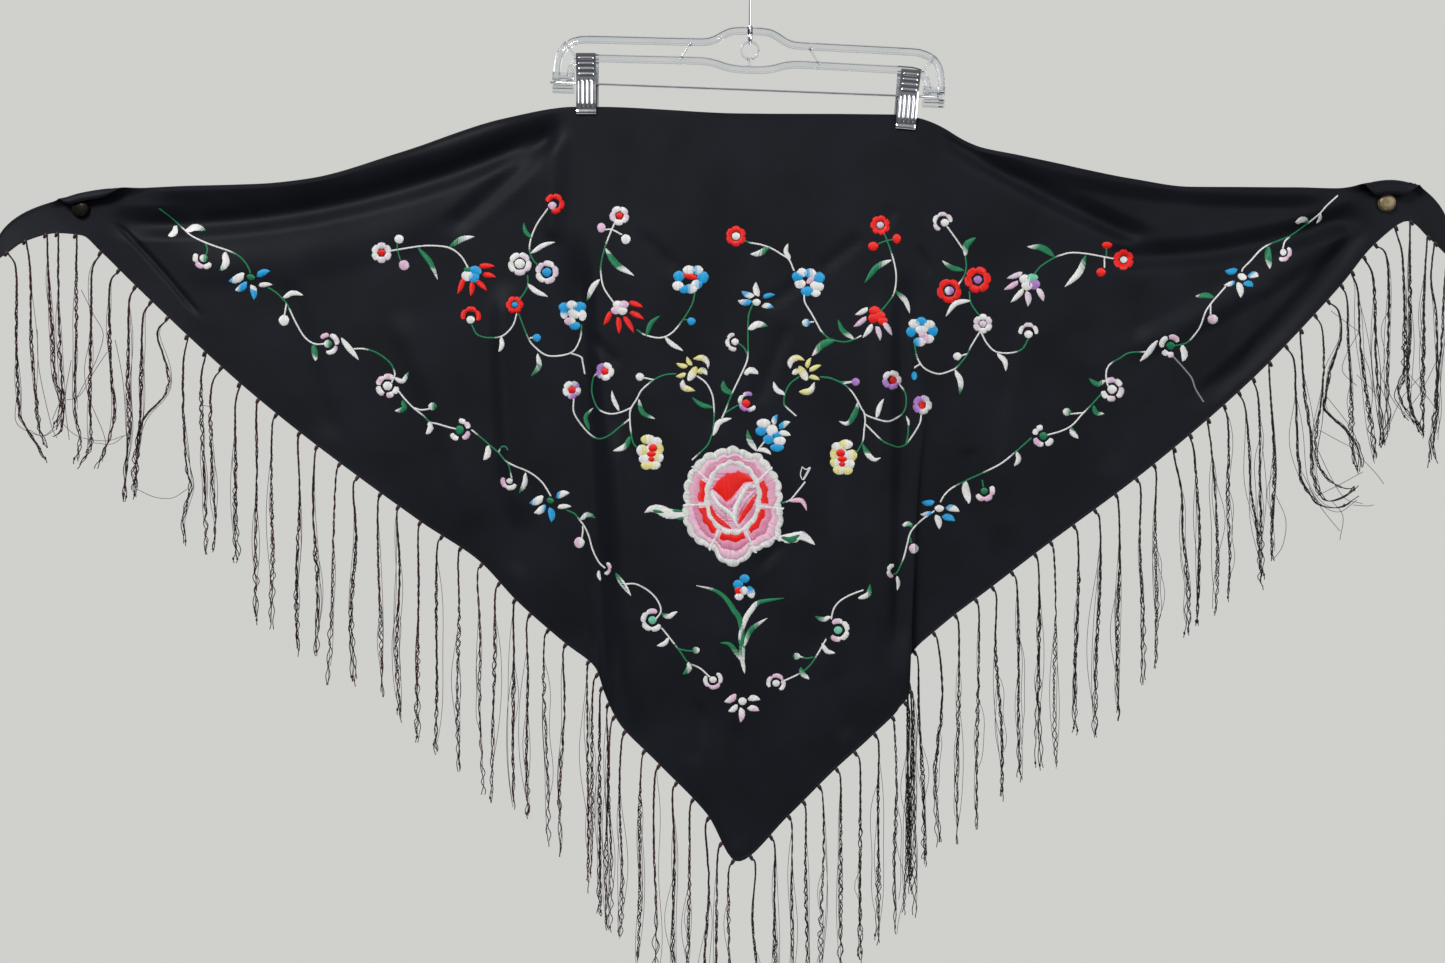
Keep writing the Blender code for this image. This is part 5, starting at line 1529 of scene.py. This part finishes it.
def build_lock(threads, points, side, luck, fine):
    """One knotted bundle: cords that start tight under the hem's knot, part and come together again."""
    line, length = space_curve(points, LOCK_STEPS)
    share = np.linspace(0.0, 1.0, LOCK_STEPS)
    strands = 2 if fine else int(luck.integers(*CORDS))
    twist = length / luck.uniform(*TWIST_LENGTH) * 2 * math.pi
    phase = luck.uniform(*ANY_PHASE)
    opening = TIGHT_OPENING + LOOSE_OPENING * smooth(share / 0.3)
    for _ in range(BULGES):
        middle = luck.uniform(*BULGE_PLACE)
        opening += luck.uniform(*BULGE_SIZE) * np.exp(-((share - middle) / luck.uniform(*BULGE_WIDTH)) ** 2)
    for k in range(strands):
        own = min(LOCK_STEPS, int(LOCK_STEPS * luck.uniform(*CORD_END)))
        waves = np.sin(share * luck.uniform(*SLACK_WAVES) + luck.uniform(*ANY_PHASE))
        slack = 1.3 * waves * smooth(share / 0.35)
        angle = share * twist + phase + 2 * math.pi * k / strands + slack
        drift = luck.normal(0, 1.2) * smooth((share - 0.4) / 0.6)
        waves = np.sin(share * luck.uniform(*OPENING_WAVES) + luck.uniform(*ANY_PHASE))
        own_opening = opening * (1 + 0.35 * waves)
        path = line.copy()
        path[:, 0] += own_opening * np.cos(angle) + drift
        path[:, 1] += np.minimum(opening, DEEPEST_OPENING) * np.sin(angle)
        thick = (FINE_CORD_RADIUS if fine else CORD_RADIUS) * (1 - 0.2 * share)
        threads.tube(path[:own], thick[:own])
        if luck.random() < END_KNOT_SHARE:
            add_end_knot(threads, path[own - 3])
    for _ in range(int(luck.integers(*STRAYS))):
        first = luck.uniform(*STRAY_START)
        last = luck.uniform(*STRAY_END)
        here = (share >= first) & (share <= last)
        local = (share[here] - first) / (last - first)
        path = line[here].copy()
        bow = luck.normal(0, STRAY_BOW)
        path[:, 0] += bow * np.sin(math.pi * local) + luck.normal(0, 1.2) * np.sin(9 * local)
        path[:, 1] -= 0.9 * np.sin(math.pi * local)
        threads.tube(path[::3], STRAY_RADIUS)
    add_hem_knot(threads, points[0], side)


def add_hem_knot(threads, root, side):
    """The wrapped knot that holds a bundle on the hem."""
    x, y, z = root
    steps = np.linspace(0.0, 1.0, len(HEM_KNOT_RADII))
    down = HEM_KNOT_ABOVE - HEM_KNOT_LENGTH * steps
    path = np.stack((x + side * HEM_KNOT_OUT * steps, np.full_like(steps, y), z + down), axis=1)
    threads.tube(path, np.array(HEM_KNOT_RADII), 6)


def add_end_knot(threads, place):
    """A small knot near a cord's end."""
    path = [place + np.array((0, 0, reach)) for reach in (1.6, 0.6, -0.6, -1.6)]
    threads.tube(path, np.array((0.4, 1.0, 1.0, 0.3)), 4)


def hem_roots(side):
    """Places along one side of the hem: on the flat cloth, in space and in the photo."""
    flats = side * np.linspace(3.0, HALF_LONG_EDGE - TIP_CUT - 4.0, 900)
    points = cloth_points(flats, np.ones_like(flats))
    apart = -EYE[1] / (points[:, 1] - EYE[1])
    seen_x = (EYE[0] + (points[:, 0] - EYE[0]) * apart - PIXEL_X) / PIXEL
    seen_y = (PIXEL_Z - EYE[2] - (points[:, 2] - EYE[2]) * apart) / PIXEL
    return flats, points, np.stack((seen_x, seen_y), axis=1)


def build_fringe(name, side, shown, loose, material, seed):
    """Bundles in the places shown near the tip, free ones on to the low corner, and stray threads."""
    luck = np.random.default_rng(seed)
    threads = Threads()
    flats, hem, seen = hem_roots(side)
    roots = hem - np.array((0.0, 0.0, ROOT_DROP))
    nearest = HALF_LONG_EDGE
    for row in shown:
        places = pairs(row)
        at = int(np.argmin(np.linalg.norm(seen - np.array(places[0]), axis=1)))
        nearest = min(nearest, abs(flats[at]))
        line = [roots[at]] + [through(place, roots[at][1]) for place in places[1:]]
        build_lock(threads, np.array(line), side, luck, fine=False)
    flat = nearest - LOCK_SPACING
    while flat > 3.0:
        at = int(np.argmin(np.abs(np.abs(flats) - flat - luck.uniform(*PLACE_SPREAD))))
        build_lock(threads, free_line(roots[at], side, luck), side, luck, fine=luck.random() < FINE_SHARE)
        flat -= LOCK_SPACING
    for row in loose:
        depth = hem[int(np.argmin(np.abs(seen[:, 0] - row[0])))][1] - 1.0
        line, _ = space_curve(np.array([through(place, depth) for place in pairs(row)]), 30)
        threads.tube(line, LOOSE_RADIUS)
    return add_piece(threads.build(name + "_cords", material, 180.0), "fringe", name)


# Hanger

# Middle lines of the two bars, for the right half: x and z in the hanger's level frame
OUTER_BAR = (
    (0, 17.8), (10, 17.7), (18, 16.6), (25, 13.3), (31, 9.6), (39, 6.8), (52, 6.0), (100, 5.3), (144, 4.6),
    (156, 3.4), (165, -0.6), (171, -7.6), (174, -18), (174.5, -30),
)
INNER_BAR = (
    (0, -17.3), (11, -17.1), (21, -15.6), (30, -13.0), (40, -11.2), (54, -11.0), (100, -11.7), (140, -12.3),
    (150, -13.2), (157, -16.2), (161, -22), (162, -30),
)
RIBS = (
    # x at top, z at top, x at bottom, z at bottom
    (53.5, 5.0, 63.0, -10.5),
    (167.0, 0.0, 156.0, -14.0),
)
END_BLOCKS = (
    # height above the rod, inner end, outer end, width, depth
    (6.0, 158.2, 177.8, 6.5, 8.8),
    (-6.0, 158.2, 177.8, 6.5, 8.8),
    (4.0, 159.5, 177.0, 4.0, 8.0),
    (-4.0, 159.5, 177.0, 4.0, 8.0),
)
BAR_SIDES = 16
BAR_WIDTH = 7.0
OUTER_DEPTH = 7.0
INNER_DEPTH = 6.4
BAR_GROOVE = 1.2
RIB_WIDTH = 2.2
RIB_DEPTH = 5.0
RING_RADIUS = 7.9


def hanger_to_world(x, z, y=0.0):
    """From the hanger's level frame to where it hangs, tilted a little to the right."""
    cos_tilt = math.cos(HANGER_TILT)
    sin_tilt = math.sin(HANGER_TILT)
    return (x * cos_tilt + z * sin_tilt, y, HANGER_CENTRE_Z + z * cos_tilt - x * sin_tilt)


def add_bar(shape, points, width, depth, groove=0.0):
    """A bar of rounded section along a line in the hanger's plane, its front grooved where asked."""
    section = []
    for k in range(BAR_SIDES):
        angle = 2 * math.pi * (k + 0.5) / BAR_SIDES
        a = abs(math.cos(angle)) ** 0.45 * math.copysign(width / 2, math.cos(angle))
        b = abs(math.sin(angle)) ** 0.45 * math.copysign(depth / 2, math.sin(angle))
        if b < 0 and abs(a) < width * 0.28:
            b += groove
        section.append((a, b))
    rings = []
    count = len(points)
    for i, (x, z) in enumerate(points):
        before = points[max(i - 1, 0)]
        after = points[min(i + 1, count - 1)]
        run = Vector((after[0] - before[0], after[1] - before[1])).normalized()
        side = Vector((-run.y, run.x))
        places = [hanger_to_world(x + side.x * a, z + side.y * a, b) for a, b in section]
        rings.append([shape.verts.new(place) for place in places])
    for here, there in zip(rings[:-1], rings[1:]):
        for k in range(BAR_SIDES):
            m = (k + 1) % BAR_SIDES
            shape.faces.new((here[k], here[m], there[m], there[k]))
    shape.faces.new(rings[0][::-1])
    shape.faces.new(rings[-1])


def mirrored_line(points):
    """A line and its mirror image, from the left end to the right."""
    return [(-x, z) for x, z in reversed(points[1:])] + list(points)


def build_hanger(material):
    """Outer and inner bar, ribs, end blocks, ring and post in one clear moulding."""
    shape = bmesh.new()
    add_bar(shape, curve_through(mirrored_line(OUTER_BAR), 6), BAR_WIDTH, OUTER_DEPTH, BAR_GROOVE)
    add_bar(shape, curve_through(mirrored_line(INNER_BAR), 6), BAR_WIDTH, INNER_DEPTH, BAR_GROOVE)
    for sign in (-1, 1):
        for x0, z0, x1, z1 in RIBS:
            add_bar(shape, [(sign * x0, z0), (sign * x1, z1)], RIB_WIDTH, RIB_DEPTH)
        for rise, inner, outer, width, depth in END_BLOCKS:
            add_bar(shape, [(sign * x, rise - ROD_DROP) for x in (inner, outer)], width, depth)
    add_bar(shape, [(175.0, -ROD_DROP + 4.0), (175.0, -ROD_DROP - 4.0)], 5.0, 8.0)
    add_bar(shape, [(0, -15.0), (0, -7.0)], 4.5, 4.4)
    turns = [math.pi * k / 16 for k in range(33)]
    add_bar(shape, [(RING_RADIUS * math.cos(turn), RING_RADIUS * math.sin(turn)) for turn in turns],
            RIB_WIDTH, RIB_DEPTH)
    bmesh.ops.recalc_face_normals(shape, faces=shape.faces)
    bmesh.ops.scale(shape, vec=(MM, MM, MM), verts=shape.verts)
    mesh = bpy.data.meshes.new("hanger_moulding")
    shape.to_mesh(mesh)
    shape.free()
    mesh.materials.append(material)
    mesh.shade_smooth()
    mesh.set_sharp_from_angle(angle=math.radians(60))
    add_piece(link_object("hanger_moulding", mesh), "clear_plastic", "hanger_frame")


def swept(name, path, radii, material, sides=20):
    """A round bar along a path, each point with its own radius, closed at both ends."""
    threads = Threads()
    threads.tube(path, np.array(radii, dtype=float), sides)
    return threads.build(name, material, 50.0)


def hook_path():
    """The wire's middle line: round the crown, over to the stem and down into the hanger."""
    radius = HOOK_INNER_RADIUS + HOOK_WIRE_RADIUS
    points = []
    for i in range(HOOK_STEPS + 1):
        angle = HOOK_END_ANGLE + (HOOK_LEAVE_ANGLE - HOOK_END_ANGLE) * i / HOOK_STEPS
        points.append(Vector((radius * math.cos(angle), 0, radius * math.sin(angle) - HOOK_INNER_RADIUS)))
    leave = points[-1]
    heading = Vector((math.sin(HOOK_LEAVE_ANGLE), 0, -math.cos(HOOK_LEAVE_ANGLE)))
    stem_top = Vector((0, 0, leave.z - 9.0))
    a = leave + heading * 7.5
    b = stem_top + Vector((0, 0, 7.5))
    for i in range(1, 15):
        u = i / 14
        bend = leave * (1 - u) ** 3 + a * 3 * u * (1 - u) ** 2 + b * 3 * u * u * (1 - u)
        points.append(bend + stem_top * u ** 3)
    points.append(Vector((0, 0, STEM_BOTTOM_Z)))
    return [tuple(point) for point in points]


def turned_faces(segments, count, hollow):
    """Faces of a turned part: its profile closes on itself where it is hollow, and on the axis where not."""
    faces = []
    for i in range(segments):
        here = i * count
        there = (i + 1) % segments * count
        for k in range(count if hollow else count - 1):
            after = (k + 1) % count
            faces.append((here + k, there + k, there + after, here + after))
    if not hollow:
        faces.append(tuple(i * count for i in reversed(range(segments))))
        faces.append(tuple(i * count + count - 1 for i in range(segments)))
    return faces


def build_hook(material):
    """The bent wire and the ferrule at its foot."""
    path = hook_path()
    radii = [0.9, 1.2] + [HOOK_WIRE_RADIUS] * (len(path) - 2)
    add_piece(swept("wire_hook", path, radii, material), "chrome", "hanger_hook")
    bottom = HANGER_CENTRE_Z + FERRULE_FOOT
    profile = (
        # z, radius
        (bottom, FERRULE_BORE), (bottom, 2.2), (bottom + 0.5, FERRULE_RADIUS), (bottom + 4.0, FERRULE_RADIUS),
        (bottom + 4.5, FERRULE_GROOVE), (bottom + 5.2, FERRULE_GROOVE), (bottom + 5.7, FERRULE_RADIUS),
        (FERRULE_TOP_Z - 0.8, FERRULE_RADIUS), (FERRULE_TOP_Z, 2.0), (FERRULE_TOP_Z, FERRULE_BORE),
    )
    points = []
    for i in range(FERRULE_SIDES):
        turn = 2 * math.pi * i / FERRULE_SIDES
        points += [(radius * math.cos(turn), radius * math.sin(turn), z) for z, radius in profile]
    faces = turned_faces(FERRULE_SIDES, len(profile), True)
    add_piece(new_object("ferrule", points, faces, material, 35.0), "chrome", "hook_ferrule")


def build_rod(material):
    """The steel rod, its ends rounded."""
    span = ROD_RIGHT_END - ROD_LEFT_END - 1.0
    rows = [(ROD_LEFT_END, ROD_END_RADIUS)]
    rows += [(ROD_LEFT_END + 0.5 + span * k / 12, ROD_RADIUS) for k in range(13)]
    rows.append((ROD_RIGHT_END, ROD_END_RADIUS))
    path = [hanger_to_world(place, -ROD_DROP) for place, _ in rows]
    add_piece(swept("steel_rod", path, [radius for _, radius in rows], material), "chrome", "hanger_rod")


# Leaf's profile: height above the rod, and the inner face's distance from the rod
LEAF_PROFILE = (
    # z, y
    (-28.0, 1.05),
    (-24.5, 1.5),
    (-18.0, 3.4),
    (-7.0, 3.6),
    (0.0, 3.3),
    (7.0, 3.9),
    (15.0, 5.6),
    (26.0, 8.6),
)
# Heights of the ribbed grip, the grooved jaw and the rolled lip, and the pitch of the ribs and grooves
GRIP_LOW = 5.0
GRIP_HIGH = 24.0
JAW_LOW = -22.5
JAW_HIGH = 3.5
LIP_TOP = -24.4
RIB_PITCH = 4.55
GROOVE_PITCH = 4.1
LEAF_ROWS = 66
LEAF_COLUMNS = 34
LEAF_METAL = 0.75
INNER_GAP = 0.1
COIL_TURNS = 9.5
COIL_LENGTH = 14.0
COIL_RADIUS = 2.25
COIL_WIRE_RADIUS = 0.62
COIL_STEPS = 16


def leaf_relief(x, z, half):
    """Height of the pressed ribs on a leaf: ribs across its grip and grooves down its jaw."""
    rim = smooth((half - abs(x)) / 1.6)
    relief = -0.35 * (1 - rim)
    if GRIP_LOW < z < GRIP_HIGH and abs(x) < half - 2.4:
        relief += 0.85 * max(0.0, math.cos(2 * math.pi * (z - 7.5) / RIB_PITCH)) ** 0.7
    elif JAW_LOW < z < JAW_HIGH:
        ends = smooth((z - JAW_LOW) / 2.5) * smooth((JAW_HIGH - z) / 2.0)
        wave = math.cos(2 * math.pi * x / GROOVE_PITCH)
        relief += 0.5 * wave * ends * (1.0 if abs(x) < half - 1.6 else 0.0)
    elif z <= LIP_TOP:
        relief += 0.9 * math.sqrt(max(0.0, 1 - ((z + 26.2) / 1.8) ** 2))
    return relief


def build_leaf(name, centre, lean, facing, middle, half, foot, top, material):
    """A clip's sprung leaf with its relief on the outer face."""
    turn = Matrix.Rotation(lean, 4, 'Y')
    profile_z, profile_y = np.array(LEAF_PROFILE).T
    low = profile_z[0]
    span = profile_z[-1] - low
    points = []
    for layer in (0, 1):
        for i in range(LEAF_ROWS + 1):
            z = low + span * i / LEAF_ROWS
            height = foot + (top - foot) * i / LEAF_ROWS
            spread = [np.interp(z + shift, profile_z, profile_y) for shift in (-1.5, 0.0, 1.5)]
            y = sum(spread) / 3
            for j in range(LEAF_COLUMNS + 1):
                x = middle - half + 2 * half * j / LEAF_COLUMNS
                out = y + INNER_GAP
                if layer:
                    out = y + LEAF_METAL + leaf_relief(x - middle, z, half)
                points.append(centre + turn @ Vector((x, facing * out, height)))
    across = LEAF_COLUMNS + 1
    total = (LEAF_ROWS + 1) * across
    faces = []
    for a, b, c, d in grid_quads(LEAF_ROWS + 1, across):
        faces += [(a, d, c, b), (total + b, total + c, total + d, total + a)]
    border = [(j, j + 1) for j in range(LEAF_COLUMNS)]
    border += [(i * across + LEAF_COLUMNS, (i + 1) * across + LEAF_COLUMNS) for i in range(LEAF_ROWS)]
    border += [(LEAF_ROWS * across + j + 1, LEAF_ROWS * across + j) for j in reversed(range(LEAF_COLUMNS))]
    border += [((i + 1) * across, i * across) for i in reversed(range(LEAF_ROWS))]
    faces += [(a, total + a, total + b, b) for a, b in border]
    if facing > 0:
        faces = [face[::-1] for face in faces]
    leaf = new_object(name + "_leaf", [tuple(point) for point in points], faces, material, 50.0)
    add_piece(leaf, "chrome", name)


def build_spring(name, place, material):
    """The coil spring round the rod, between a clip's two leaves."""
    path = []
    count = int(COIL_TURNS * COIL_STEPS)
    for k in range(count + 1):
        angle = 2 * math.pi * k / COIL_STEPS
        along = place - COIL_LENGTH / 2 + COIL_LENGTH * k / count
        x, y, z = hanger_to_world(along, -ROD_DROP)
        path.append((x, y + COIL_RADIUS * math.cos(angle), z + COIL_RADIUS * math.sin(angle)))
    coil = swept(name + "_coil", path, [COIL_WIRE_RADIUS] * len(path), material, 8)
    add_piece(coil, "chrome", name + "_spring")


def build_clips(material):
    """Two clips, each of a front leaf, a wider back leaf set towards the middle, and a spring."""
    for name, place, lean, inner_side, foot, top in CLIPS:
        centre = Vector(hanger_to_world(place, -ROD_DROP))
        for side, facing, middle, half in (("_front", -1, 0.0, 9.0), ("_back", 1, inner_side, 10.0)):
            build_leaf(name + side, centre, lean, facing, middle, half, foot, top, material)
        build_spring(name, place, material)


TACK_SIDES = 40
SHANK_LENGTH = 9.0


def build_tacks(materials):
    """Tacks with a low domed head, turned with a flat rim, and a sharp shank."""
    # The first material, for the left tack, is brass painted near black as painted shade
    for (name, x, z), material in zip(TACKS, materials):
        low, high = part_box(name)
        front = low.y / MM
        tip = high.y / MM
        rear = tip - SHANK_LENGTH
        profile = (
            # y, radius
            (front, 0.05), (front + 0.05, 3.2), (front + 0.35, 5.2), (front + 1.2, 7.2), (rear - 1.3, 8.2),
            (rear - 0.5, 8.5), (rear, 8.3), (rear, 0.95), (tip - 3.0, 0.9), (tip, 0.05),
        )
        points = []
        for i in range(TACK_SIDES):
            turn = 2 * math.pi * i / TACK_SIDES
            points += [(x + radius * math.cos(turn), y, z + radius * math.sin(turn)) for y, radius in profile]
        faces = turned_faces(TACK_SIDES, len(profile), False)
        add_piece(new_object(name + "_head", points, faces, material, 40.0), "brass", name)


# Room: floor, light and camera

def light_the_room(nodes, links):
    """A pale wall's light behind the part and a dimmer room, darker below, in front of it."""
    split = nodes.new("ShaderNodeSeparateXYZ")
    links.new(nodes.new("ShaderNodeTexCoord").outputs["Generated"], split.inputs["Vector"])
    shares = []
    for output, low, high in LIGHT_STEPS:
        share = nodes.new("ShaderNodeMapRange")
        share.interpolation_type = 'SMOOTHSTEP'
        set_sockets(share, From_Min=low, From_Max=high)
        links.new(split.outputs[output], share.inputs["Value"])
        shares.append(share.outputs["Result"])
    in_front = mix_colours(nodes, links, shares[0], LIGHT_LOW, LIGHT_HIGH, 0.0, 1.0)
    both = nodes.new("ShaderNodeMixRGB")
    set_sockets(both, Color2=LIGHT_BEHIND)
    links.new(shares[1], both.inputs["Fac"])
    links.new(in_front, both.inputs["Color1"])
    links.new(both.outputs["Color"], nodes["Background"].inputs["Color"])


FLOOR_Z = -1.25
FLOOR_CORNERS = ((-1.2, -0.6), (1.2, -0.6), (1.2, 0.9), (-1.2, 0.9))
LAMPS = (
    # name, place, size, watts
    ("key", (-1.3, -2.3, 1.6), 1.1, 108.0),
    ("fill", (1.8, -2.0, 0.3), 1.6, 26.0),
)
LAMPS_AIM = (0, 0, -0.45)
# Where along an axis of the view the room's light changes: axis, from, to
LIGHT_STEPS = (("Z", -0.5, 0.7), ("Y", -0.15, 0.35))
LIGHT_LOW = (0.09, 0.09, 0.095)
LIGHT_HIGH = (0.37, 0.38, 0.40)
LIGHT_BEHIND = (0.63, 0.63, 0.61, 1.0)
LENS = 50.0
SENSOR_WIDTH = 36.0


def build_room():
    """Floor, world, lamps and camera, in metres."""
    mesh = bpy.data.meshes.new("floor")
    mesh.from_pydata([(x, y, FLOOR_Z) for x, y in FLOOR_CORNERS], [], [(0, 1, 2, 3)])
    mesh.materials.append(floor_material())
    floor = link_object("floor", mesh)
    world = bpy.data.worlds.new("room")
    world.use_nodes = True
    light_the_room(world.node_tree.nodes, world.node_tree.links)
    bpy.context.scene.world = world
    for name, place, size, watts in LAMPS:
        data = bpy.data.lights.new(name, 'AREA')
        data.size = size
        data.energy = watts
        lamp = link_object(name, data)
        lamp.location = place
        lamp.rotation_euler = (Vector(LAMPS_AIM) - Vector(place)).to_track_quat('-Z', 'Y').to_euler()
    data = bpy.data.cameras.new("camera")
    data.lens = LENS
    data.sensor_width = SENSOR_WIDTH
    camera = link_object("camera", data)
    camera.location = EYE * MM
    camera.rotation_euler = (math.pi / 2, 0, 0)
    bpy.context.scene.camera = camera
    bpy.context.scene.view_settings.view_transform = 'Standard'


def main():
    """The whole part and its room, the cloth first because the rest lies on it."""
    chrome = metal_material("chrome", (0.70, 0.71, 0.74), (0.80, 0.81, 0.83), 0.12, 60.0)
    # The left tack is the same brass as the right one, painted near black: painted shade and a painted
    # reflection of the black cloth
    brass_in_painted_shade = metal_material("brass_painted_dark", (0.008, 0.007, 0.006), (0.022, 0.018, 0.012), 0.24, 160.0, 0.7)
    brass = metal_material("dull_brass", (0.13, 0.100, 0.050), (0.24, 0.185, 0.095), 0.40, 220.0, 0.5)
    cloth, tree = build_cloth(cloth_material())
    tinted = fringe_material("cord_tinted", (0.008, 0.006, 0.007), (0.045, 0.010, 0.014))
    plain = fringe_material("cord_black", (0.006, 0.006, 0.007), (0.012, 0.012, 0.013))
    fringe_left = build_fringe("fringe_left", -1, LEFT_LOCKS, LEFT_LOOSE, tinted, 3)
    fringe_right = build_fringe("fringe_right", 1, RIGHT_LOCKS, RIGHT_LOOSE, plain, 8)
    silk = silk_material()
    for name, needle in zip(("stems", "flowers", "rose"), work_embroidery(tree)):
        needle.build("embroidery_" + name, silk, 1)
        needle.build("reverse_" + name, silk, -1)
    build_hanger(plastic_material())
    build_hook(chrome)
    build_rod(chrome)
    build_clips(chrome)
    build_tacks((brass_in_painted_shade, brass))
    build_room()


main()
